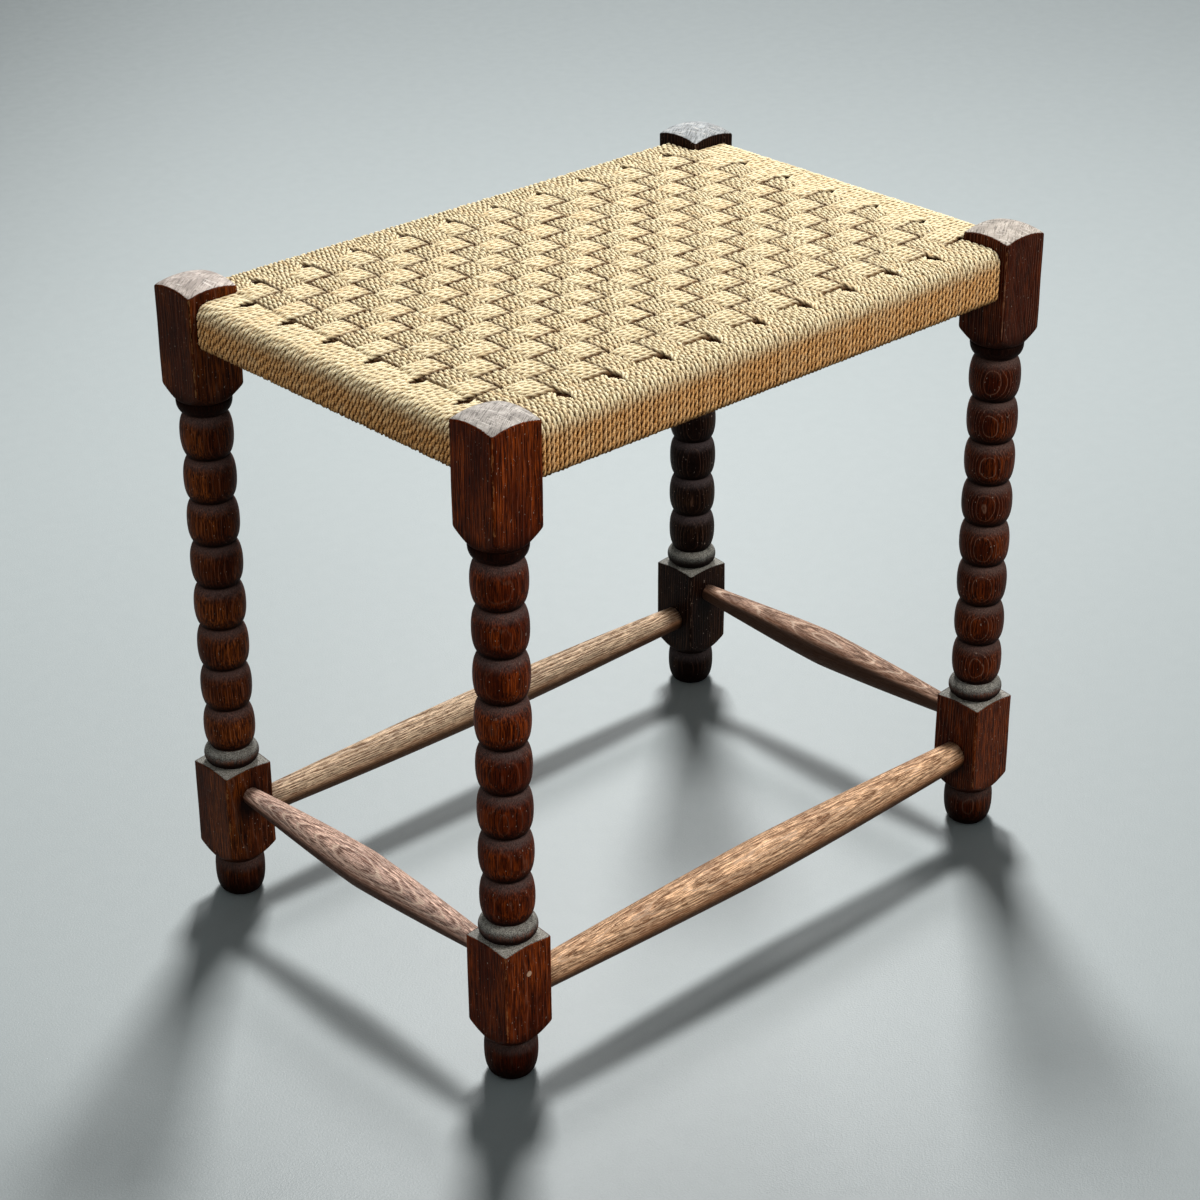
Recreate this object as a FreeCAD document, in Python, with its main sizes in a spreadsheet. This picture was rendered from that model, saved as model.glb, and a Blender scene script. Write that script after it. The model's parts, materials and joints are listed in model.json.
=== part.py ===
import FreeCAD, Part
import math
import os

import Sketcher
from FreeCAD import Placement, Rotation, Vector

# Bobbin-turned oak stool with a seat of twisted cord in a basket weave.
# The origin is on the floor under the middle of the seat. +X runs along the
# long sides, -Y is the front, +Z is up. All lengths are millimetres.

SIZES = [
    ("leg_spacing_x", 428.0, "between leg centres along the long sides"),
    ("leg_spacing_y", 280.0, "between leg centres along the short sides"),
    ("leg_stock", 37.0, "side of the square blank that each leg is turned from"),
    ("foot_height", 27.7, "floor to the neck above the foot ball"),
    ("foot_radius", 12.3, "flat that stands on the floor"),
    ("foot_ball_radius", 16.7, "widest turn of the foot"),
    ("foot_neck_radius", 15.5, "neck above the foot ball"),
    ("low_cone_height", 9.7, "turned lead from the foot neck to the block corners"),
    ("low_block_height", 63.1, "square block that takes the stretchers"),
    ("block_crown", 1.3, "fall of the lower block's top towards its corners"),
    ("ring_height", 13.9, "ring turned above the lower block"),
    ("ring_radius", 18.3, "widest turn of the ring"),
    ("ring_edge_radius", 15.0, "foot of the ring on the block"),
    ("bobbin_count", 8, "bobbins on each leg"),
    ("bobbin_pitch", 30.0, "groove to groove"),
    ("bobbin_radius", 16.8, "belly of a bobbin"),
    ("groove_radius", 12.8, "groove between two bobbins"),
    ("neck_height", 7.4, "neck above the last bobbin"),
    ("neck_radius", 13.6, "narrow part of that neck"),
    ("collar_height", 1.7, "collar below the upper block"),
    ("collar_radius", 17.2, "turn of that collar"),
    ("top_cone_height", 8.5, "turned lead from the collar to the block corners"),
    ("top_block_height", 64.2, "square block that takes the seat rails"),
    ("dome_rise", 5.3, "domed top of the leg above the block corners"),
    ("turning_sides", 16, "facets round every turned piece"),
    ("stretcher_end_radius", 7.0, "stretcher where it meets the leg, and its tenon"),
    ("stretcher_tenon_length", 15.0, "depth of that tenon in the leg"),
    ("stretcher_belly_radius", 11.0, "stretcher at its middle"),
    ("long_stretcher_rise", 20.0, "long stretchers above the foot of the block"),
    ("short_stretcher_rise", 42.2, "short stretchers above the foot of the block"),
    ("rail_inset", 7.5, "outer face of a leg to the outer face of a seat rail"),
    ("rail_drop", 7.2, "block corner down to the top of the seat rails"),
    ("rail_thickness", 16.0, "seat rail, outer face to inner face"),
    ("long_rail_height", 30.0, "seat rails of the long sides"),
    ("short_rail_height", 25.0, "seat rails of the short sides"),
    ("rail_top_round", 6.0, "rounding that the cord bends over"),
    ("rail_low_round", 3.5, "rounding below it"),
    ("rail_tenon_length", 15.0, "depth of a rail tenon in the leg"),
    ("rail_tenon_thickness", 9.0, "rail tenon, face to face"),
    ("long_tenon_height", 20.0, "tenon of a long rail"),
    ("short_tenon_height", 15.0, "tenon of a short rail"),
    ("glue_gap", 0.1, "glue line round every tenon and peg"),
    ("cord_diameter", 3.2, "thickness of one layer of seat cord"),
    ("cord_gap", 0.1, "between the cord and what it bears on"),
    ("weave_gap", 0.15, "beside a band where the other set dips past it"),
    ("band_gap", 1.0, "between two bands of the same set"),
    ("warp_bands", 20, "bands of cord that run across the stool"),
    ("weft_bands", 12, "bands of cord that run along the stool"),
    ("peg_radius", 2.1, "oak peg from the front of a leg into the end of a stretcher"),
    ("peg_bite", 8.0, "depth of that peg in the end of the stretcher"),
    ("small_sides", 8, "facets of pegs and tack heads"),
    ("tack_shank", 1.6, "square shank of a tack that holds a cord end"),
    ("tack_length", 10.0, "shank in the rail"),
    ("tack_head_radius", 3.2, "head of the tack"),
    ("tack_head_thickness", 1.0, "thickness of the head"),
    ("tack_gap", 0.05, "round the shank of a tack"),
    ("tack_end_distance", 14.0, "leg to the tack, along the rail"),
    ("overrun", 2.0, "how far cutting tools run past a surface"),
]

# Shares along a turned swelling: how far up it, and how far out to its belly.
FOOT_SHARES = [(0.12, 0.55), (0.34, 0.92), (0.62, 1.0), (0.86, 0.62)]
RING_SHARES = [(0.22, 0.78), (0.52, 1.0), (0.82, 0.72)]
BOBBIN_SHARES = [(0.12, 0.66), (0.5, 1.0), (0.88, 0.66)]
NECK_SHARES = [(0.7, 0.55)]
STRETCHER_SHARES = [(0.2, 0.66), (0.5, 1.0), (0.8, 0.66)]
# Shares of the corner radius where the domed top of a leg changes facet.
DOME_SHARES = [0.72, 0.38, 0.0]
# Straight steps that a band of cord takes round a rail's rounding.
BEND_STEPS = 2

# Heights and half sizes as expressions on the sheet.
INNER_X = "(Sizes.leg_spacing_x - Sizes.leg_stock) / 2"
INNER_Y = "(Sizes.leg_spacing_y - Sizes.leg_stock) / 2"
OUTER_X = "(Sizes.leg_spacing_x + Sizes.leg_stock) / 2"
OUTER_Y = "(Sizes.leg_spacing_y + Sizes.leg_stock) / 2"
RAIL_X = OUTER_X + " - Sizes.rail_inset - Sizes.rail_thickness / 2"
RAIL_Y = OUTER_Y + " - Sizes.rail_inset - Sizes.rail_thickness / 2"
LOW_BLOCK = "Sizes.foot_height + Sizes.low_cone_height"
LONG_STRETCHER_Z = LOW_BLOCK + " + Sizes.long_stretcher_rise"
SHORT_STRETCHER_Z = LOW_BLOCK + " + Sizes.short_stretcher_rise"
BLOCK_TOP = LOW_BLOCK + (
    " + Sizes.low_block_height + Sizes.ring_height + Sizes.bobbin_count * Sizes.bobbin_pitch"
    " + Sizes.neck_height + Sizes.collar_height + Sizes.top_cone_height + Sizes.top_block_height")
LONG_RAIL_Z = BLOCK_TOP + " - Sizes.rail_drop - Sizes.long_rail_height / 2"
SHORT_RAIL_Z = BLOCK_TOP + " - Sizes.rail_drop - Sizes.short_rail_height / 2"

ALONG_X = Rotation(Vector(0, 1, 0), 90)
ALONG_Y = Rotation(Vector(1, 0, 0), -90)

doc = FreeCAD.newDocument("bobbin_stool")
sheet = doc.addObject("Spreadsheet::Sheet", "Sizes")
for row, (alias, number, note) in enumerate(SIZES, start=1):
    sheet.set(f"A{row}", note)
    sheet.set(f"B{row}", str(number))
    sheet.setAlias(f"B{row}", alias)
doc.recompute()


def size(alias):
    return float(sheet.get(alias))


def bind(item, **expressions):
    """Tie sizes and the place (x, y, z) of an object to the sheet."""
    for name, expression in expressions.items():
        path = "Placement.Base." + name if name in ("x", "y", "z") else name
        item.setExpression(path, expression)
    return item


def primitive(kind, name, turn=None, **expressions):
    item = doc.addObject(kind, name)
    if turn is not None:
        item.Placement = Placement(Vector(), turn)
    return bind(item, **expressions)


def feature(name, shape, place=None):
    item = doc.addObject("Part::Feature", name)
    item.Shape = shape
    if place is not None:
        item.Placement = place
    return item


def boolean(kind, name, base, tool):
    item = doc.addObject(kind, name)
    item.Base = base
    item.Tool = tool
    return item


def cut_all(name, base, tools):
    """Cut several tools from one piece."""
    group = tools[0]
    if len(tools) > 1:
        group = doc.addObject("Part::MultiFuse", name + "_tools")
        group.Shapes = tools
    return boolean("Part::Cut", name, base, group)


# Turning

def bead(base, height, low_radius, high_radius, belly_radius, shares):
    """Points (radius, height) of one turned swelling, without its two ends."""
    points = []
    for along, out in shares:
        edge = low_radius + (high_radius - low_radius) * along
        points.append((edge + (belly_radius - edge) * out, base + height * along))
    return points


def turned(outline):
    """Closed solid of an outline of (radius, height) points swung round +Z, in flat facets."""
    sides = int(size("turning_sides"))
    rings = []
    for radius, height in outline:
        if radius == 0:
            rings.append([Vector(0, 0, height)] * (sides + 1))
            continue
        turns = [2 * math.pi * (side % sides) / sides for side in range(sides + 1)]
        rings.append([Vector(radius * math.cos(turn), radius * math.sin(turn), height) for turn in turns])
    faces = []
    for low, high in zip(rings, rings[1:]):
        for side in range(sides):
            corners = [low[side], low[side + 1], high[side + 1], high[side]]
            if high[side] == high[side + 1]:
                corners.pop()
            faces.append(Part.Face(Part.makePolygon(corners + corners[:1])))
    for end, (radius, height) in ((rings[0], outline[0]), (rings[-1], outline[-1])):
        if radius > 0:
            faces.append(Part.Face(Part.makePolygon(end)))
    solid = Part.Solid(Part.Shell(faces))
    if solid.Volume < 0:
        solid.reverse()
    return solid


def leg_outline():
    """Lathe profile of a leg: foot ball, square block, ring, bobbins, neck, collar, block, dome."""
    corner = size("leg_stock") * math.sqrt(0.5)
    clear = corner + size("overrun")
    foot = size("foot_height")
    outline = [(size("foot_radius"), 0)]
    outline += bead(
        0, foot, size("foot_radius"), size("foot_neck_radius"), size("foot_ball_radius"), FOOT_SHARES)
    outline.append((size("foot_neck_radius"), foot))
    slope = size("low_cone_height") / (corner - size("foot_neck_radius"))
    outline.append((clear, foot + slope * (clear - size("foot_neck_radius"))))

    ring_base = foot + size("low_cone_height") + size("low_block_height")
    slope = size("block_crown") / (corner - size("ring_edge_radius"))
    outline.append((clear, ring_base - slope * (clear - size("ring_edge_radius"))))
    outline.append((size("ring_edge_radius"), ring_base))
    groove = size("groove_radius")
    outline += bead(
        ring_base, size("ring_height"), size("ring_edge_radius"), groove, size("ring_radius"), RING_SHARES)

    base = ring_base + size("ring_height")
    for bobbin in range(int(size("bobbin_count"))):
        outline.append((groove, base))
        outline += bead(base, size("bobbin_pitch"), groove, groove, size("bobbin_radius"), BOBBIN_SHARES)
        base += size("bobbin_pitch")

    neck, collar = size("neck_radius"), size("collar_radius")
    outline.append((neck, base))
    for along, out in NECK_SHARES:
        outline.append((neck + (collar - neck) * out, base + size("neck_height") * along))
    collar_base = base + size("neck_height")
    block_base = collar_base + size("collar_height")
    outline += [(collar, collar_base), (collar, block_base)]
    slope = size("top_cone_height") / (corner - collar)
    outline.append((clear, block_base + slope * (clear - collar)))

    block_top = block_base + size("top_cone_height") + size("top_block_height")
    for share in [clear / corner] + DOME_SHARES:
        outline.append((corner * share, block_top + size("dome_rise") * (1 - share * share)))
    return outline


def stretcher_outline(span):
    """Swelled stick whose ends run on into the legs as round tenons."""
    half = span / 2
    tip = half + size("stretcher_tenon_length")
    end = size("stretcher_end_radius")
    swell = bead(-half, span, end, end, size("stretcher_belly_radius"), STRETCHER_SHARES)
    return [(end, -tip), (end, -half)] + swell + [(end, half), (end, tip)]


# Legs

def socket(name, turn, **expressions):
    """Round socket for a stretcher tenon."""
    return primitive(
        "Part::Prism", name, turn, Polygon="Sizes.turning_sides",
        Circumradius="Sizes.stretcher_end_radius + Sizes.glue_gap",
        Height="Sizes.stretcher_tenon_length + Sizes.glue_gap + Sizes.overrun", **expressions)


def peg(name):
    """Peg in line with the left stretcher, flush with the front face of the leg."""
    return primitive(
        "Part::Prism", name, ALONG_Y, Polygon="Sizes.small_sides", Circumradius="Sizes.peg_radius",
        Height="Sizes.leg_stock - Sizes.stretcher_tenon_length + Sizes.peg_bite",
        x="-Sizes.leg_spacing_x / 2", y=f"-({OUTER_Y})", z=SHORT_STRETCHER_Z)


def peg_hole(name):
    return primitive(
        "Part::Prism", name, ALONG_Y, Polygon="Sizes.small_sides",
        Circumradius="Sizes.peg_radius + Sizes.glue_gap",
        Height="Sizes.leg_stock - Sizes.stretcher_tenon_length + Sizes.peg_bite"
               " + Sizes.glue_gap + Sizes.overrun",
        x="-Sizes.leg_spacing_x / 2", y=f"-({OUTER_Y} + Sizes.overrun)", z=SHORT_STRETCHER_Z)


def make_legs():
    """The front left leg is turned and mortised. The other three are its mirror images."""
    blank = primitive(
        "Part::Box", "leg_blank", Length="Sizes.leg_stock", Width="Sizes.leg_stock",
        Height=f"{BLOCK_TOP} + Sizes.dome_rise + 2 * Sizes.overrun",
        x=f"-({OUTER_X})", y=f"-({OUTER_Y})", z="-Sizes.overrun")
    axis = Vector(-size("leg_spacing_x") / 2, -size("leg_spacing_y") / 2, 0)
    turning = feature("leg_turning", turned(leg_outline()), Placement(axis, Rotation()))
    turned_leg = boolean("Part::Common", "turned_leg", blank, turning)

    deep = "Sizes.rail_tenon_length + Sizes.glue_gap"
    thick = "Sizes.rail_tenon_thickness + 2 * Sizes.glue_gap"
    tall = "Sizes.long_tenon_height + 2 * Sizes.glue_gap"
    long_mortise = primitive(
        "Part::Box", "long_rail_mortise", Length=deep + " + Sizes.overrun", Width=thick, Height=tall,
        x=f"-({INNER_X} + {deep})", y=f"-({RAIL_Y}) - ({thick}) / 2", z=f"{LONG_RAIL_Z} - ({tall}) / 2")
    tall = "Sizes.short_tenon_height + 2 * Sizes.glue_gap"
    short_mortise = primitive(
        "Part::Box", "short_rail_mortise", Length=thick, Width=deep + " + Sizes.overrun", Height=tall,
        x=f"-({RAIL_X}) - ({thick}) / 2", y=f"-({INNER_Y} + {deep})", z=f"{SHORT_RAIL_Z} - ({tall}) / 2")
    bottom = "Sizes.stretcher_tenon_length + Sizes.glue_gap"
    long_socket = socket(
        "long_stretcher_socket", ALONG_X, x=f"-({INNER_X} + {bottom})",
        y="-Sizes.leg_spacing_y / 2", z=LONG_STRETCHER_Z)
    short_socket = socket(
        "short_stretcher_socket", ALONG_Y, x="-Sizes.leg_spacing_x / 2",
        y=f"-({INNER_Y} + {bottom})", z=SHORT_STRETCHER_Z)
    mortised = cut_all("mortised_leg", turned_leg, [long_mortise, short_mortise, long_socket, short_socket])

    front_left = cut_all("leg_front_left", mortised, [peg_hole("leg_peg_hole")])
    front_right = mirrored("leg_front_right", mortised, Vector(1, 0, 0))
    back_left = mirrored("leg_back_left", mortised, Vector(0, 1, 0))
    back_right = mirrored("leg_back_right", front_right, Vector(0, 1, 0))
    return [front_left, front_right, back_left, back_right]


def mirrored(name, source, normal):
    item = doc.addObject("Part::Mirroring", name)
    item.Source = source
    item.Normal = normal
    return item


# Stretchers and the peg

def make_stretchers():
    half_x, half_y = size("leg_spacing_x") / 2, size("leg_spacing_y") / 2
    low_block = size("foot_height") + size("low_cone_height")
    long_z = low_block + size("long_stretcher_rise")
    short_z = low_block + size("short_stretcher_rise")
    long_stick = turned(stretcher_outline(size("leg_spacing_x") - size("leg_stock")))
    short_stick = turned(stretcher_outline(size("leg_spacing_y") - size("leg_stock")))
    left_stick = feature("left_stick", short_stick, Placement(Vector(-half_x, 0, short_z), ALONG_Y))
    return [
        feature("stretcher_front", long_stick, Placement(Vector(0, -half_y, long_z), ALONG_X)),
        feature("stretcher_back", long_stick, Placement(Vector(0, half_y, long_z), ALONG_X)),
        cut_all("stretcher_left", left_stick, [peg_hole("stretcher_peg_hole")]),
        feature("stretcher_right", short_stick, Placement(Vector(half_x, 0, short_z), ALONG_Y)),
        peg("tenon_peg"),
    ]


# Seat rails

def section(body, plane, name, width, height):
    """Rectangle centred on the body's axis, in the plane across the rail."""
    sketch = body.newObject("Sketcher::SketchObject", name)
    origin_plane = next(item for item in body.Origin.OriginFeatures if item.Role == plane)
    sketch.AttachmentSupport = [(origin_plane, "")]
    sketch.MapMode = "FlatFace"
    half_u, half_v = size("rail_thickness") / 2, size("short_rail_height") / 2
    corners = [Vector(-half_u, -half_v, 0), Vector(half_u, -half_v, 0),
               Vector(half_u, half_v, 0), Vector(-half_u, half_v, 0)]
    for side in range(4):
        sketch.addGeometry(Part.LineSegment(corners[side], corners[(side + 1) % 4]), False)
    for side in range(4):
        sketch.addConstraint(Sketcher.Constraint("Coincident", side, 2, (side + 1) % 4, 1))
    for side in (0, 2):
        sketch.addConstraint(Sketcher.Constraint("Horizontal", side))
        sketch.addConstraint(Sketcher.Constraint("Vertical", side + 1))
    sketch.addConstraint(Sketcher.Constraint("Symmetric", 0, 1, 1, 2, -1, 1))
    across = sketch.addConstraint(Sketcher.Constraint("DistanceX", 0, 1, 0, 2, 2 * half_u))
    upright = sketch.addConstraint(Sketcher.Constraint("DistanceY", 1, 1, 1, 2, 2 * half_v))
    sketch.setExpression(f"Constraints[{across}]", width)
    sketch.setExpression(f"Constraints[{upright}]", height)
    sketch.Visibility = False
    return sketch


def padded(body, sketch, name, length):
    pad = body.newObject("PartDesign::Pad", name)
    pad.Profile = sketch
    pad.Midplane = True
    pad.setExpression("Length", length)
    doc.recompute()
    return pad


def rounded(body, base, name, radius, outward, upward):
    """Round the long edge on the outer side of a rail, at its top or its bottom."""
    middle = base.Shape.BoundBox.Center
    names = []
    for number, edge in enumerate(base.Shape.Edges, start=1):
        offset = edge.CenterOfMass - middle
        runs_along = edge.BoundBox.DiagonalLength > size("rail_tenon_length") + size("long_rail_height")
        if runs_along and offset.dot(outward) > 0 and offset.z * upward > 0:
            names.append(f"Edge{number}")
    fillet = body.newObject("PartDesign::Fillet", name)
    fillet.Base = (base, names)
    fillet.setExpression("Radius", radius)
    doc.recompute()
    return fillet


def make_rail(side, outward, plane, inner, height, tenon_height, **place):
    """Rail with its outer edges rounded for the cord, and a tenon at each end."""
    body = doc.addObject("PartDesign::Body", f"{side}_rail_bar")
    bar = padded(body, section(body, plane, f"{side}_bar_section", "Sizes.rail_thickness", height),
                 f"{side}_bar", f"2 * ({inner})")
    top = rounded(body, bar, f"{side}_top_round", "Sizes.rail_top_round", outward, 1)
    rounded(body, top, f"{side}_low_round", "Sizes.rail_low_round", outward, -1)
    padded(body, section(body, plane, f"{side}_tenon_section", "Sizes.rail_tenon_thickness", tenon_height),
           f"{side}_tenons", f"2 * ({inner} + Sizes.rail_tenon_length)")
    bind(body, **place)
    return body


# The tacks that hold the four cord ends sit in the rails' inner faces.

def tack_piece(kind, name, inward, spare, x, y, z):
    """Shank box of a tack, or with spare room the hole for it. Inward points off the rail's inner face."""
    wide = f"Sizes.tack_shank + 2 * ({spare})"
    deep = f"Sizes.tack_length + {spare}"
    along_x = inward.x != 0
    reach = inward.x + inward.y
    start = "" if reach < 0 else f" - ({deep})"
    item = {"Height": wide, "z": f"{z} - ({wide}) / 2"}
    if along_x:
        item.update(Length=deep, Width=wide, x=x + start, y=f"{y} - ({wide}) / 2")
    else:
        item.update(Length=wide, Width=deep, x=f"{x} - ({wide}) / 2", y=y + start)
    return primitive(kind, name, **item)


def tack_head(name, inward, x, y, z):
    turn = ALONG_X if inward.x else ALONG_Y
    thick = "Sizes.tack_head_thickness"
    back = f" - {thick}" if inward.x + inward.y < 0 else ""
    if inward.x:
        x = x + back
    else:
        y = y + back
    return primitive("Part::Prism", name, turn, Polygon="Sizes.small_sides",
                     Circumradius="Sizes.tack_head_radius", Height=thick, x=x, y=y, z=z)


def make_rails_and_tacks():
    face_x = OUTER_X + " - Sizes.rail_inset - Sizes.rail_thickness"
    face_y = OUTER_Y + " - Sizes.rail_inset - Sizes.rail_thickness"
    end_x = f"{INNER_X} - Sizes.tack_end_distance"
    end_y = f"{INNER_Y} - Sizes.tack_end_distance"
    long_rail = ("YZ_Plane", INNER_X, "Sizes.long_rail_height", "Sizes.long_tenon_height")
    short_rail = ("XZ_Plane", INNER_Y, "Sizes.short_rail_height", "Sizes.short_tenon_height")
    rails = [
        ("front", Vector(0, -1, 0), long_rail, {"y": f"-({RAIL_Y})", "z": LONG_RAIL_Z},
         (f"-({end_x})", f"-({face_y})", LONG_RAIL_Z)),
        ("back", Vector(0, 1, 0), long_rail, {"y": RAIL_Y, "z": LONG_RAIL_Z}, (end_x, face_y, LONG_RAIL_Z)),
        ("left", Vector(-1, 0, 0), short_rail, {"x": f"-({RAIL_X})", "z": SHORT_RAIL_Z},
         (f"-({face_x})", end_y, SHORT_RAIL_Z)),
        ("right", Vector(1, 0, 0), short_rail, {"x": RAIL_X, "z": SHORT_RAIL_Z},
         (face_x, f"-({end_y})", SHORT_RAIL_Z)),
    ]
    nodes, tacks = [], []
    for side, outward, (plane, inner, height, tenon_height), place, tack_place in rails:
        bar = make_rail(side, outward, plane, inner, height, tenon_height, **place)
        inward = -outward
        hole = tack_piece("Part::Box", f"{side}_tack_hole", inward, "Sizes.tack_gap", *tack_place)
        nodes.append(cut_all(f"seat_rail_{side}", bar, [hole]))
        shank = tack_piece("Part::Box", f"{side}_tack_shank", inward, "0", *tack_place)
        head = tack_head(f"{side}_tack_head", inward, *tack_place)
        tacks.append(boolean("Part::Fuse", f"{side}_tack", shank, head))
    group = doc.addObject("Part::Compound", "cord_tacks")
    group.Links = tacks
    return nodes + [group]


# Seat cord: flat bands of six cords, each band a loop round two opposite rails.

def bend(centre_u, centre_z, radius, start):
    """Points round the outside of a rounding, a quarter turn from the start angle."""
    step = math.radians(90) / BEND_STEPS
    reach = radius / math.cos(step / 2)
    points = []
    for number in range(BEND_STEPS):
        turn = math.radians(start) + step * (number + 0.5)
        points.append((centre_u + reach * math.cos(turn), centre_z + reach * math.sin(turn)))
    return points


def loop_path(rail_face, rail_low, rail_top, crossings):
    """Middle line of a band round two rails, anticlockwise, with its crossings on the upper side."""
    out = size("cord_gap") + size("cord_diameter") / 2
    top_round, low_round = size("rail_top_round"), size("rail_low_round")
    top, low = top_round + out, low_round + out
    path = bend(rail_face - low_round, rail_low + low_round, low, -90)
    path += bend(rail_face - top_round, rail_top - top_round, top, 0)
    path += crossings
    path += bend(-rail_face + top_round, rail_top - top_round, top, 90)
    path += bend(-rail_face + low_round, rail_low + low_round, low, 180)
    return path


def shifted(path, distance):
    """Closed line parallel to an anticlockwise path, outside it for a positive distance."""
    moved = []
    for number, here in enumerate(path):
        before, after = path[number - 1], path[(number + 1) % len(path)]
        first = math.atan2(here[1] - before[1], here[0] - before[0])
        second = math.atan2(after[1] - here[1], after[0] - here[0])
        turn = (second - first + math.pi) % (2 * math.pi) - math.pi
        mitre = distance / math.cos(turn / 2)
        angle = first + turn / 2 - math.pi / 2
        moved.append((here[0] + mitre * math.cos(angle), here[1] + mitre * math.sin(angle)))
    return moved


def band(path, along_x, centre, width):
    """One band of cord: the strip either side of its path, as wide as its cords."""
    strip = []
    for distance in (size("cord_diameter") / 2, -size("cord_diameter") / 2):
        line = shifted(path, distance)
        if along_x:
            corners = [Vector(u, centre - width / 2, z) for u, z in line]
        else:
            corners = [Vector(centre - width / 2, u, z) for u, z in line]
        strip.append(Part.Face(Part.makePolygon(corners + corners[:1])))
    side = Vector(0, width, 0) if along_x else Vector(width, 0, 0)
    return strip[0].cut(strip[1]).extrude(side)


def block_top():
    stages = ("foot_height", "low_cone_height", "low_block_height", "ring_height", "neck_height",
              "collar_height", "top_cone_height", "top_block_height")
    return sum(size(stage) for stage in stages) + size("bobbin_count") * size("bobbin_pitch")


def make_seat():
    inner_x = (size("leg_spacing_x") - size("leg_stock")) / 2
    inner_y = (size("leg_spacing_y") - size("leg_stock")) / 2
    face_x = inner_x + size("leg_stock") - size("rail_inset")
    face_y = inner_y + size("leg_stock") - size("rail_inset")
    rail_top = block_top() - size("rail_drop")
    columns, rows = int(size("warp_bands")), int(size("weft_bands"))
    column_pitch, row_pitch = 2 * inner_x / columns, 2 * inner_y / rows

    warp_path = loop_path(face_y, rail_top - size("long_rail_height"), rail_top, [])
    warp_width = column_pitch - size("cord_diameter") - 2 * size("weave_gap")
    warp = []
    for column in range(columns):
        centre = (column + 0.5) * column_pitch - inner_x
        warp.append(band(warp_path, False, centre, warp_width))

    lift = size("cord_diameter") + size("cord_gap")
    level = rail_top + size("cord_gap") + size("cord_diameter") / 2
    weft = []
    for row in range(rows):
        heights = [level]
        heights += [level + (lift if (column + row) % 2 == 0 else -lift) for column in range(columns)]
        heights.append(level)
        crossings = []
        for edge in range(columns, -1, -1):
            place = edge * column_pitch - inner_x
            crossings += [(place, heights[edge + 1]), (place, heights[edge])]
        path = loop_path(face_x, rail_top - size("short_rail_height"), rail_top, crossings)
        centre = inner_y - (row + 0.5) * row_pitch
        weft.append(band(path, True, centre, row_pitch - size("band_gap")))
    return [feature("seat_warp", Part.makeCompound(warp)), feature("seat_weft", Part.makeCompound(weft))]


nodes = make_legs() + make_stretchers() + make_rails_and_tacks() + make_seat()
doc.recompute()

for item in doc.Objects:
    if "Invalid" in item.State or "Error" in item.State:
        raise RuntimeError(f"{item.Label} did not build: {item.State}")
for node in nodes:
    if node.Shape.isNull() or not node.Shape.isValid() or not node.Shape.Solids:
        raise RuntimeError(f"{node.Label} has no sound solid")

os.makedirs("parts", exist_ok=True)
for node in nodes:
    node.Shape.exportStep(f"parts/{node.Label}.step")
    volume = round(node.Shape.Volume / 1000, 2)
    print(node.Label, len(node.Shape.Solids), "solids", volume, "cubic centimetres")
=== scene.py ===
import json
import math

import bpy
import numpy as np
from mathutils import Matrix, Vector

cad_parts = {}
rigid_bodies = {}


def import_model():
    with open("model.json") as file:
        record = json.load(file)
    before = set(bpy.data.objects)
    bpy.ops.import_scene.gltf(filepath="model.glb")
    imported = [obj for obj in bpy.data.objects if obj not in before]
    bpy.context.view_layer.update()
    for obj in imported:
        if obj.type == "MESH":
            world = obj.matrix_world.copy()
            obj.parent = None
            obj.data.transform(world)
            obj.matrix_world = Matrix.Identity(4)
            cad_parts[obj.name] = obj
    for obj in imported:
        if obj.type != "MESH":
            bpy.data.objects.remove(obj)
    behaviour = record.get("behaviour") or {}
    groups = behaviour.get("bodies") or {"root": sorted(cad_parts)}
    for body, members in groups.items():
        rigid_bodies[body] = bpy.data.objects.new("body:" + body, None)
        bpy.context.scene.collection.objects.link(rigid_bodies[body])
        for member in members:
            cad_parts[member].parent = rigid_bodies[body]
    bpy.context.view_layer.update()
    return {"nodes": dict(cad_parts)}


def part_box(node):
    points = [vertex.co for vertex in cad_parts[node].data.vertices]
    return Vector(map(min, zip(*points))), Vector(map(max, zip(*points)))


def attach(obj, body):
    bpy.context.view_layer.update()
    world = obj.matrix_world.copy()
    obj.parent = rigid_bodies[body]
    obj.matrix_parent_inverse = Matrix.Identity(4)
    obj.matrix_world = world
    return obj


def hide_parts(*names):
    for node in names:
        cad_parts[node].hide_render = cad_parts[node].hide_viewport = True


# Bobbin-turned oak stool with a seat of twisted cord in a basket weave.
# Lengths are metres in the frame of the CAD model: +X along the long sides,
# -Y the front, +Z up, origin on the floor under the middle of the seat.

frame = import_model()

MM = 0.001
LEFT, RIGHT, FRONT, BACK = "left", "right", "front", "back"

# Places read from the frame.
leg_low, leg_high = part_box("leg_back_right")
INNER_X, OUTER_X = leg_low.x, leg_high.x
INNER_Y, OUTER_Y = leg_low.y, leg_high.y
LEG_X, LEG_Y = (INNER_X + OUTER_X) / 2, (INNER_Y + OUTER_Y) / 2
LEG_TOP = leg_high.z
HALF_STOCK = (OUTER_X - INNER_X) / 2
CORNER = HALF_STOCK * math.sqrt(2)
LEGS = {
    "leg_front_left": (-LEG_X, -LEG_Y), "leg_front_right": (LEG_X, -LEG_Y),
    "leg_back_left": (-LEG_X, LEG_Y), "leg_back_right": (LEG_X, LEG_Y),
}


# Shader maths

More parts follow.
